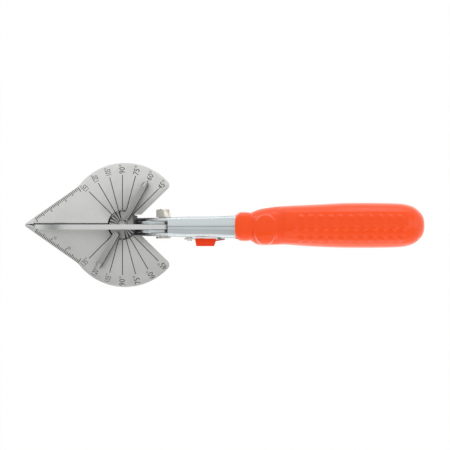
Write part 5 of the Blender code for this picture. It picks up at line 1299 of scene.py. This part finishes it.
# Each row: place along the tail, and height over the eye, as shares
TAIL_ROWS = ((0.42, -1.2), (0.72, -0.9), (0.97, -0.2), (1.0, 0.0), (0.985, 0.18), (0.8, 1.0))
TAB_TAPER = 1.2 * MM
TAIL_LIES_OFF = 0.02 * MM
RIVET_HEAD, RIVET_NECK = 1.5 * MM, 1.3 * MM
RIVET_FOOT, RIVET_FOOT_END, RIVET_FOOT_TALL = 2.1 * MM, 2.0 * MM, 0.5 * MM
PIN_TIP, PIN_TIP_TALL = 1.0 * MM, 0.2 * MM
PIN_FOOT, PIN_FOOT_END, PIN_FOOT_TALL = 1.9 * MM, 1.8 * MM, 0.8 * MM
STRIP_STEEL = make_finish("strip_steel", (0.74, 0.73, 0.71), 1.0, 0.34, stretch=(0.1, 1.0, 1.0),
                          fineness=1800.0, patch_tone=0.2, wear=0.4)
TAB_PLASTIC = make_finish("tab_plastic", (0.72, 0.036, 0.001), 0.0, 0.34, fineness=2500.0, grain_tone=0.05,
                          patch_tone=0.06, uneven=0.08, wear=0.15, wear_colour=(0.9, 0.16, 0.07), dust=0.0,
                          specular=0.15)
eye = Vector(LATCH_EYE) * MM
spoke = Vector(CATCH_PIN) * MM - eye
spoke.rotate(Matrix.Rotation(-LATCH_SWING, 2))
hook = eye + spoke
out_way = spoke.normalized()
onward = Vector((-out_way.y, out_way.x))
slot = PIN_RADIUS + FIT_GAP
wall = slot + HOOK_WIDTH
lip = onward * HOOK_LIP
turns = [math.pi * step / HOOK_STEPS for step in range(HOOK_STEPS + 1)]
outside = [hook - onward * wall * math.sin(a) + out_way * wall * math.cos(a) for a in turns]
inside = [hook - onward * slot * math.sin(a) + out_way * slot * math.cos(a) for a in turns]
outline = arc(eye, EYE_RADIUS, math.pi / 2, EYE_END, EYE_STEPS)
outline.append(Vector((eye.x + HOOK_FROM * LATCH_TAIL, eye.y - EYE_RADIUS)))
outline += list(reversed(outside)) + [hook + lip + out_way * wall, hook + lip + out_way * slot] + inside
outline += [Vector((eye.x + along * LATCH_TAIL, eye.y + up * EYE_RADIUS)) for along, up in TAIL_ROWS]
strip = bm_piece("latch_plate_pressed", skin_rings([[(p.x, y, p.y) for p in outline]
                                                    for y in (strip_low.y, strip_high.y)]), STRIP_STEEL)
hole = cross_hole(eye.x, eye.y, LATCH_BORE, EYE_HOLE_TO)
carve(strip, hole)
discard(hole)
round_edges(strip, 0.1 * MM)
# the point behind the tab takes the dark seat steel: painted shade beside the tab's tail
strip.data.materials.append(SEAT_STEEL)
for polygon in strip.data.polygons:
    if polygon.center.x > tab_high.x:
        polygon.material_index = 1
dress(strip, "latch", "latch_plate")

tab_y = strip_low.y - FIT_GAP
strip_top = strip_high.z + FIT_GAP


def tab_ring(y, taper):
    """The tab's section at a place across it, smaller by its taper."""
    front, rear = tab_low.x + taper / 2, tab_high.x - taper
    return [(x, y, z) for x, z in ((front, tab_low.z + taper), (rear, tab_low.z + taper),
                                   (rear, tab_high.z - taper), (front, tab_high.z - taper))]


tab = bm_piece("latch_tab_moulded",
               skin_rings([tab_ring(y, taper) for y, taper in ((tab_high.y, 0.0), (tab_y, 0.0),
                                                               (tab_low.y, TAB_TAPER))]), TAB_PLASTIC)
fold = block("fold", (tab_low.x - MM, tab_high.x + MM), (tab_y, tab_high.y + MM),
             (tab_low.z - MM, strip_top), TAB_PLASTIC)
carve(tab, fold)
discard(fold)
round_edges(tab, 0.35 * MM, segments=3, limit=30)
# its tail lies on the strip and thins out to a point
tail_y = strip_low.y - TAIL_LIES_OFF
rings = [[(x, tail_y, z_low), (x, tail_y - thick, z_low), (x, tail_y - thick, z_high), (x, tail_y, z_high)]
         for x, thick, z_low, z_high in (
             (tab_high.x - 1.2 * MM, 0.80 * MM, eye.y - 1.6 * MM, eye.y + 2.6 * MM),
             (tab_high.x + 0.4 * MM, 0.70 * MM, eye.y - 1.4 * MM, eye.y + 2.5 * MM),
             (eye.x + 0.86 * LATCH_TAIL, 0.45 * MM, eye.y - 0.9 * MM, eye.y + 1.9 * MM),
             (eye.x + 0.99 * LATCH_TAIL, 0.10 * MM, eye.y - 0.2 * MM, eye.y + 0.2 * MM))]
tail = bm_piece("latch_tail", skin_rings(rings), TAB_PLASTIC)
round_edges(tail, 0.08 * MM, segments=2, limit=40)
tab = join_meshes("latch_tab_moulded", [tab, tail], TAB_PLASTIC)
for polygon in tab.data.polygons:
    polygon.material_index = 0
face_out(tab)
dress(tab, "latch", "latch_tab")

rivet_low, rivet_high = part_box("latch_rivet")
outer = strip_low.y - FIT_GAP
foot = rivet_high.y - RIVET_FOOT_TALL
dress(lathe("latch_rivet_domed",
            domed_head(RIVET_HEAD, outer - rivet_low.y, outer) + [
                (RIVET_NECK, outer), (RIVET_NECK, foot), (RIVET_FOOT, foot),
                (RIVET_FOOT_END, rivet_high.y), (0.0, rivet_high.y)],
            (eye.x, 0.0, eye.y), TO_NUT_SIDE, BOLT_STEEL), "table_lever", "latch_rivet")
pin_low, pin_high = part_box("catch_pin")
foot = pin_high.y - PIN_FOOT_TALL
dress(lathe("catch_pin_turned",
            [(0.0, pin_low.y), (PIN_TIP, pin_low.y), (PIN_RADIUS, pin_low.y + PIN_TIP_TALL),
             (PIN_RADIUS, foot), (PIN_FOOT, foot), (PIN_FOOT_END, pin_high.y), (0.0, pin_high.y)],
            (CATCH_PIN[0] * MM, 0.0, CATCH_PIN[1] * MM), TO_NUT_SIDE, SEAT_STEEL),
      "blade_lever", "catch_pin")

# Grips: two mirror-image mouldings in glossy orange plastic, pushed over the levers' tangs.
# A collar, a neck with a raised thumb pad, then a fat body with a flat panel of small grip bumps.
GRIP_HALF_WIDTH = 12.4 * MM
GRIP_HALF_HEIGHT = 11.75 * MM
# Each row: along, half width, side shift, half height, rise, all as shares
GRIP_ROWS = (
    (0.000, 0.475, 0.024, 0.690, 0.000), (0.003, 0.520, 0.024, 0.718, 0.005),
    (0.008, 0.568, 0.024, 0.742, 0.014), (0.016, 0.615, 0.024, 0.768, 0.028),
    (0.026, 0.645, 0.024, 0.786, 0.044),
    (0.040, 0.656, 0.022, 0.795, 0.067), (0.083, 0.650, 0.018, 0.792, 0.140),
    (0.097, 0.680, 0.006, 0.800, 0.165), (0.112, 0.745, -0.010, 0.815, 0.190),
    (0.128, 0.790, -0.006, 0.835, 0.220), (0.142, 0.812, 0.002, 0.850, 0.250),
    (0.175, 0.838, 0.022, 0.862, 0.310), (0.219, 0.850, 0.058, 0.862, 0.390),
    (0.271, 0.866, 0.076, 0.892, 0.490), (0.334, 0.898, 0.070, 0.932, 0.600),
    (0.419, 0.937, 0.062, 0.970, 0.730), (0.501, 0.968, 0.065, 0.990, 0.840),
    (0.588, 0.996, 0.073, 1.000, 0.930), (0.693, 1.000, 0.073, 1.000, 0.985),
    (0.789, 0.992, 0.073, 0.992, 1.000), (0.875, 0.964, 0.073, 0.951, 1.000),
    (0.926, 0.879, 0.073, 0.852, 0.990), (0.955, 0.758, 0.073, 0.730, 0.980),
    (0.971, 0.645, 0.073, 0.623, 0.975), (0.987, 0.500, 0.073, 0.475, 0.970),
    (0.996, 0.347, 0.073, 0.328, 0.970), (1.000, 0.190, 0.073, 0.180, 0.970),
    (1.0005, 0.0, 0.073, 0.0, 0.970))
GRIP_AROUND = 176
GRIP_STEP = 0.45 * MM
# Each row of bumps: place across and place of the first one, in mm, and how many
PIP_ROWS = ((4.2, 44.0, 11), (-1.5, 41.2, 12), (-7.7, 43.9, 11))
PIP_PITCH = 5.37 * MM
PIP_HEIGHT = 0.75 * MM
PIP_HALF = (1.75 * MM, 1.65 * MM)
PIP_SKEW = 0.35
COLLAR_SQUARENESS, NECK_SQUARENESS, BODY_SQUARENESS = 3.2, 1.7, 2.35
BODY_FROM, BODY_RISE = 0.10, 0.17
TOP_FROM = (0.15, 0.3)
NECK_DROP = 0.8 * MM
PAD_MIDDLE, PAD_HALF = (24.4 * MM, -2.6 * MM), (5.9 * MM, 9.0 * MM)
PAD_ROUNDNESS = 2.3
PAD_EDGE = (1.0, 0.55)
RING_GROOVE_X, RING_GROOVE_WIDTH = 16.2 * MM, 0.6 * MM
RING_GROOVE_DEPTH = 0.35 * MM
PANEL_DEPTH, PANEL_FALL = 0.35 * MM, 0.7
# Where a form starts or ends: the middle of the change, and the width that it takes
NECK_FROM, NECK_TO = (17.4 * MM, 2.2 * MM), (33.0 * MM, 5.0 * MM)
PANEL_FROM, PANEL_TO = (35.0 * MM, 4 * MM), (103.0 * MM, 3 * MM)
PANEL_LEFT, PANEL_RIGHT = (7.9 * MM, 1.8 * MM), (-10.4 * MM, 1.2 * MM)
PANEL_EDGE_FROM = (33.0 * MM, 4 * MM)
MOUTH_BOW_TO = (GRIP_X + 2.6 * MM, 4.0 * MM)
# Places along, and how far across the line lies at each
PARTING_LINE = ([10 * MM, 32 * MM, 85 * MM, 112 * MM], [-3.75 * MM, -3.5 * MM, -2.1 * MM, -1.3 * MM])
PARTING_HEIGHT, PARTING_WIDTH = 0.10 * MM, 0.22 * MM
MOUTH_BOW = 0.9 * MM
MOUTH_HALF = 8.6 * MM
BOW_LIMIT = 1.6
GRIP_PLASTIC = make_finish("grip_plastic", (0.89, 0.066, 0.0), 0.0, 0.26, fineness=2600.0, patch_scale=35.0,
                           grain_tone=0.03, patch_tone=0.06, uneven=0.06, bump=0.006 * MM, wear=0.12,
                           wear_colour=(0.98, 0.20, 0.08), dust=0.0, coat=0.12, specular=0.22, sheen=0.80)


def soft_step(value, edge, width):
    """0 below an edge, 1 above it, rounded over a width."""
    t = np.clip((value - edge) / width + 0.5, 0.0, 1.0)
    return t * t * (3 - 2 * t)


def mouth_bow(y):
    """How far back the collar's mouth lies at a place across it."""
    return MOUTH_BOW * np.minimum(((y - PIVOT.y) / MOUTH_HALF) ** 2, BOW_LIMIT)


def grip_skin():
    """Points of the upper grip's outside, in rings from its mouth to its tail, and their angles."""
    rows = np.array(GRIP_ROWS)
    length = np.hypot(np.diff(rows[:, 0]) * GRIP_LENGTH, np.diff(rows[:, 1]) * GRIP_HALF_WIDTH)
    run = np.concatenate([[0.0], np.cumsum(length)])
    table = [(r, *row) for r, row in zip(run, rows)]
    s = np.array(finely(0.0, run[-1], GRIP_STEP))
    along, width, shift, height, rise = [between_rows(table, s, column) for column in range(1, 6)]
    width[-1] = height[-1] = 0.0
    to_body = np.clip((along - BODY_FROM) / BODY_RISE, 0.0, 1.0)
    power = COLLAR_SQUARENESS + (BODY_SQUARENESS - COLLAR_SQUARENESS) * to_body
    angle = np.arange(GRIP_AROUND) * math.tau / GRIP_AROUND
    side, up = np.cos(angle)[None, :], np.sin(angle)[None, :]

    def section(w, h, n):
        """Reach of a squarish oval round its centre."""
        w, h = np.maximum(w, 1e-7)[:, None], np.maximum(h, 1e-7)[:, None]
        n = np.broadcast_to(n, along.shape)[:, None]
        return ((np.abs(side) / w) ** n + (np.abs(up) / h) ** n) ** (-1.0 / n)

    radius = section(width * GRIP_HALF_WIDTH, height * GRIP_HALF_HEIGHT, power)
    x = np.repeat((GRIP_X + np.minimum(along, 1.0) * GRIP_LENGTH)[:, None], GRIP_AROUND, 1)
    y = PIVOT.y + shift[:, None] * GRIP_HALF_WIDTH + radius * side
    top = soft_step(np.repeat(up, len(s), 0), *TOP_FROM)
    # the neck is scooped to steep flanks, which leaves the thumb pad standing as an oval
    scoop = section(width * GRIP_HALF_WIDTH, height * GRIP_HALF_HEIGHT - NECK_DROP, NECK_SQUARENESS)
    neck = soft_step(x, *NECK_FROM) * (1 - soft_step(x, *NECK_TO))
    pad = ((np.abs(x - PAD_MIDDLE[0]) / PAD_HALF[0]) ** PAD_ROUNDNESS
           + (np.abs(y - PAD_MIDDLE[1]) / PAD_HALF[1]) ** PAD_ROUNDNESS)
    radius -= (radius - scoop) * neck * (1 - (1 - soft_step(pad, *PAD_EDGE)) * top)
    centre_z = GRIP_FRONT_Z + rise[:, None] * GRIP_RISE
    y = PIVOT.y + shift[:, None] * GRIP_HALF_WIDTH + radius * side
    z = centre_z + radius * up
    skin = np.stack([x, y, z], axis=2)
    ahead = np.gradient(skin, axis=0)
    around = np.roll(skin, -1, axis=1) - np.roll(skin, 1, axis=1)
    normal = np.cross(around, ahead)
    normal /= np.maximum(np.linalg.norm(normal, axis=2, keepdims=True), 1e-12)
    outward = np.sum(normal * np.stack([x * 0, y - PIVOT.y, z - centre_z], axis=2), axis=2, keepdims=True)
    normal *= np.sign(np.where(outward == 0, 1, outward))
    # the collar's mouth is bowed towards the levers
    skin[:, :, 0] += mouth_bow(y) * (1 - soft_step(x, *MOUTH_BOW_TO))
    lift = np.zeros_like(x)
    facing_up = np.clip(normal[:, :, 2], 0.0, 1.0) ** PANEL_FALL
    # the ring groove behind the collar
    lift -= RING_GROOVE_DEPTH * np.exp(-((x - RING_GROOVE_X) / RING_GROOVE_WIDTH) ** 2)
    # the panel that carries the grip bumps, and its edge on the nut's side
    panel = soft_step(x, *PANEL_FROM) * (1 - soft_step(x, *PANEL_TO))
    panel *= 1 - soft_step(y, *PANEL_LEFT)
    panel *= soft_step(y, *PANEL_RIGHT)
    lift += PANEL_DEPTH * (panel - 1) * facing_up * top * soft_step(x, *PANEL_EDGE_FROM)
    for row_y, first_x, count in PIP_ROWS:
        for k in range(count):
            dx = (x - first_x * MM - PIP_PITCH * k) / PIP_HALF[0]
            dy = (y - row_y * MM) / PIP_HALF[1]
            size = np.hypot(dx, dy * (1.0 + PIP_SKEW * dx))
            lift += PIP_HEIGHT * np.clip(1 - size ** 2, 0.0, 1.0) * top
    # the mould's parting line
    line_y = np.interp(x, *PARTING_LINE)
    lift += PARTING_HEIGHT * np.exp(-((y - line_y) / PARTING_WIDTH) ** 2) * top
    skin += normal * lift[:, :, None]
    return skin, angle


def pocket_rings(angle):
    """Rings of the pocket that takes the tang, from its far end out to the mouth."""
    rings = []
    up = LEVER_DEPTH / 2 + FIT_GAP
    for x in (GRIP_X + TANG + FIT_GAP, *[GRIP_X + TANG * share for share in (0.75, 0.5, 0.25, 0.0)]):
        half = lever_half_width(x, True) + FIT_GAP
        reach = np.minimum(half / np.maximum(np.abs(np.cos(angle)), 1e-9),
                           up / np.maximum(np.abs(np.sin(angle)), 1e-9))
        y = PIVOT.y + reach * np.cos(angle)
        rings.append(np.stack([x + mouth_bow(y) * (x == GRIP_X), y,
                               float(grip_centre(x, True)) + reach * np.sin(angle)], axis=1))
    return rings


skin, angle = grip_skin()
rings = np.concatenate([np.stack(pocket_rings(angle)), skin[:-1]])
count, around = rings.shape[:2]
tail = skin[-1].mean(axis=0)
grip_points = np.vstack([rings.reshape(-1, 3), tail[None, :]])
i = np.arange(around)
j = (i + 1) % around
faces = []
for first in range(0, (count - 1) * around, around):
    faces += np.stack([first + i, first + j, first + around + j, first + around + i], axis=1).tolist()
last = (count - 1) * around
faces += [[last + int(a), last + int(b), len(grip_points) - 1] for a, b in zip(i, j)]
faces.append([int(a) for a in reversed(i)])
for upper, grip_name, body in ((True, "upper_grip", "table_lever"), (False, "lower_grip", "blade_lever")):
    points = grip_points.copy()
    if not upper:
        points[:, 2] = GRIP_TOP_Z - points[:, 2]
    mesh = bpy.data.meshes.new(grip_name + "_moulded")
    mesh.from_pydata(points.tolist(), [], faces)
    grip = face_out(new_piece(grip_name + "_moulded", mesh, GRIP_PLASTIC))
    dress(grip, body, grip_name)

# Underside: the bracket plate and jaw block that carry the table, their screws, and the fluted
# clamp knob with its hex insert and washer. Blackened steel, darkened further as painted shade
# in the hollow under the table, plated screws, moulded knob.
# near black: blackened steel, with painted shade for the hollow under the table
DARK_STEEL = make_finish("dark_steel", (0.045, 0.045, 0.048), 1.0, 0.45, fineness=1500.0, patch_scale=80.0,
                         patch_tone=0.3, wear=0.5, wear_colour=(0.32, 0.31, 0.30), dust=0.03)
KNOB_PLASTIC = make_finish("knob_plastic", (0.028, 0.028, 0.030), 0.0, 0.48, fineness=2600.0, grain_tone=0.2,
                           patch_tone=0.2, wear=0.5, wear_colour=(0.16, 0.16, 0.16), dust=0.25)
TABLE_SCREWS, BRACKET_SCREWS = (1, 2, 3, 4), (1, 2)
CROSS_TURN = 0.6
# Each row: radius, and height from the head's flat face, in mm
FLAT_HEAD = ((0.0, 0.0), (2.1, 0.0), (2.3, 0.2), (2.3, 1.3))
BRACKET_SCREW_SHANK, BRACKET_SCREW_TIP = 1.2 * MM, 0.9 * MM
BRACKET_SCREW_POINT = 0.3 * MM
WASHER_RIM, WASHER_EDGE = 6.5 * MM, 0.15 * MM
INSERT_FLATS = 7.0 * MM
POCKET_HEIGHTS = (2.2 * MM, 10 * MM)
FLUTES = {"Flutes": 20.0, "Flute Depth": 0.75 * MM, "Flutes From": 7.9 * MM}
# Each row: radius and height, in mm
KNOB_ROWS = ((0.0, 0.25), (6.2, 0.25), (6.6, 0.0), (7.8, 0.0), (8.3, 0.15), (8.75, 0.5), (9.0, 1.1),
             (9.0, 3.0), (9.0, 5.2), (9.0, 7.2), (8.8, 7.9), (8.3, 8.3), (7.8, 8.4), (0.0, 8.4))

# three pieces keep the solids' own shape
for node, finish in (("table_bracket", DARK_STEEL), ("jaw_block", DARK_STEEL), ("knob_insert", SCREW_STEEL)):
    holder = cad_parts[node]
    holder.data.materials.clear()
    holder.data.materials.append(finish)
for number in TABLE_SCREWS:
    low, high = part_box("table_screw_%d" % number)
    centre = Vector(((low.x + high.x) / 2, (low.y + high.y) / 2, low.z))
    screw = lathe("table_screw_%d_pan" % number,
                  screw_profile(high.z - low.z, head=2.6 * MM, dome=0.5 * MM, head_depth=1.5 * MM,
                                shank=1.25 * MM, point=0.3 * MM, tip=0.95 * MM),
                  centre, UPWARDS, SCREW_STEEL)
    cut_cross(screw, width=0.32 * MM, length=1.5 * MM, depth=0.9 * MM, place=Matrix.Translation(centre)
              @ Matrix.Rotation(math.pi, 4, "X") @ Matrix.Rotation(CROSS_TURN * number, 4, "Z"))
    dress(screw, "table_lever", "table_screw_%d" % number)
for number in BRACKET_SCREWS:
    low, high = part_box("bracket_screw_%d" % number)
    tall = high.z - low.z
    dress(lathe("bracket_screw_%d_flat" % number,
                [metres(row) for row in FLAT_HEAD] + [
                    (BRACKET_SCREW_SHANK, FLAT_HEAD[-1][1] * MM),
                    (BRACKET_SCREW_SHANK, tall - BRACKET_SCREW_POINT), (BRACKET_SCREW_TIP, tall),
                    (0.0, tall)],
                ((low.x + high.x) / 2, (low.y + high.y) / 2, high.z), DOWNWARDS, DARK_STEEL, sides=40),
          "table_lever", "bracket_screw_%d" % number)
low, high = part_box("clamp_washer")
dress(lathe("clamp_washer_turned",
            [(SCREW_BORE, low.z), (WASHER_RIM - WASHER_EDGE, low.z), (WASHER_RIM, low.z + WASHER_EDGE),
             (WASHER_RIM, high.z - WASHER_EDGE), (WASHER_RIM - WASHER_EDGE, high.z),
             (SCREW_BORE, high.z), (SCREW_BORE, low.z)],
            (HUB.x, 0.0, 0.0), UPWARDS, SCREW_STEEL, sides=72),
      "table_lever", "clamp_washer")
knob = lathe("clamp_knob_moulded", [metres(row) for row in KNOB_ROWS], (HUB.x, 0.0, 0.0), UPWARDS,
             KNOB_PLASTIC, sides=200, **FLUTES)
pocket = INSERT_FLATS / math.sqrt(3) + FIT_GAP
hexagon = [(HUB.x + pocket * math.cos(a), pocket * math.sin(a)) for a in [math.pi / 3 * k for k in range(6)]]
cutter = bm_piece("pocket", skin_rings([[(x, y, z) for x, y in hexagon] for z in POCKET_HEIGHTS]),
                  KNOB_PLASTIC)
carve(knob, cutter)
discard(cutter)
dress(knob, "knob", "clamp_knob")

# The studio: a pale floor, wide soft lights above on the +Y and the -Y side, low strips along
# both sides that draw the highlights on the flanks, a light beyond the grip's tail, and a camera
# straight above.
FLOOR_DROP = 92.0 * MM
CAMERA_PLACE = (2.3 * MM, 0.0, 822.0 * MM)
CAMERA_LENS = 112.0
CAMERA_SENSOR = 36.0
FLOOR_HALF = 1.6
FLOOR_GLOW = 0.97

bm = bmesh.new()
bmesh.ops.create_grid(bm, x_segments=1, y_segments=1, size=FLOOR_HALF)
floor = bm_piece("studio_floor", bm)
# the floor lies low enough for the lower grip to swing open above it
floor.data.transform(Matrix.Translation((0.0, 0.0, cad_low.z - FLOOR_DROP)))
floor_paint = bpy.data.materials.new("studio_floor")
floor_paint.use_nodes = True
tree = floor_paint.node_tree
shader = tree.nodes["Principled BSDF"]
shader.inputs["Base Color"].default_value = (0.92, 0.92, 0.92, 1.0)
shader.inputs["Roughness"].default_value = 0.9
path = add_node(tree, "ShaderNodeLightPath").outputs
seen = add_math(tree, "MAXIMUM", path["Is Camera Ray"], path["Is Glossy Ray"])
glow = add_node(tree, "ShaderNodeEmission", {"Color": (1.0, 1.0, 1.0, 1.0), "Strength": 1.0}).outputs[0]
share = add_math(tree, "MULTIPLY", seen, FLOOR_GLOW)
mixed = add_node(tree, "ShaderNodeMixShader", {0: share, 1: shader.outputs[0], 2: glow}).outputs[0]
tree.links.new(mixed, tree.nodes["Material Output"].inputs["Surface"])
floor.data.materials.append(floor_paint)

world = bpy.data.worlds.new("studio")
world.use_nodes = True
tree = world.node_tree
sky = tree.nodes["Background"]
sky.inputs["Color"].default_value = (0.96, 0.98, 1.0, 1.0)
# a pale tent: bright along the horizon, dimmer overhead
way = tree.nodes.new("ShaderNodeTexCoord").outputs["Generated"]
way_up = add_node(tree, "ShaderNodeSeparateXYZ", {0: way}).outputs[2]
level = add_node(tree, "ShaderNodeMapRange", {"Value": way_up, "From Min": 0.05, "From Max": 0.95,
                                              "To Min": 1.0, "To Max": 0.46}).outputs[0]
tree.links.new(level, sky.inputs["Strength"])
# the camera sees plain white behind the floor, which lights nothing
backdrop = add_node(tree, "ShaderNodeBackground", {"Color": (1.0, 1.0, 1.0, 1.0), "Strength": 1.0}).outputs[0]
seen = add_node(tree, "ShaderNodeLightPath").outputs["Is Camera Ray"]
mixed = add_node(tree, "ShaderNodeMixShader", {0: seen, 1: sky.outputs[0], 2: backdrop}).outputs[0]
tree.links.new(mixed, tree.nodes["World Output"].inputs["Surface"])
bpy.context.scene.world = world


def soft_light(name, place, size, power, colour):
    """A rectangular lamp that faces the tool."""
    lamp = bpy.data.lights.new(name, "AREA")
    lamp.shape = "RECTANGLE"
    lamp.size, lamp.size_y = size
    lamp.energy = power
    lamp.color = colour
    holder = bpy.data.objects.new(name, lamp)
    holder.location = place
    holder.rotation_euler = (-Vector(place)).to_track_quat("-Z", "Y").to_euler()
    bpy.context.scene.collection.objects.link(holder)


soft_light("top_light", (0.0, 0.42, 1.0), (1.8, 1.3), 4.6, (1.0, 1.0, 1.0))
soft_light("low_light_nut_side", (0.0, 1.2, 0.14), (1.6, 0.18), 3.6, (1.0, 1.0, 1.0))
soft_light("low_light_latch_side", (0.0, -1.2, 0.14), (1.6, 0.18), 2.6, (1.0, 0.99, 0.97))
soft_light("fill_light", (0.0, -0.8, 0.85), (1.6, 0.6), 3.2, (1.0, 1.0, 1.0))
soft_light("side_light", (1.2, 0.1, 0.62), (0.5, 0.5), 1.3, (1.0, 0.98, 0.94))

camera_data = bpy.data.cameras.new("camera")
camera_data.lens = CAMERA_LENS
camera_data.sensor_width = CAMERA_SENSOR
camera_data.clip_end = 10.0
camera = bpy.data.objects.new("camera", camera_data)
camera.location = CAMERA_PLACE
bpy.context.scene.collection.objects.link(camera)
bpy.context.scene.camera = camera
bpy.context.scene.view_settings.view_transform = "Standard"
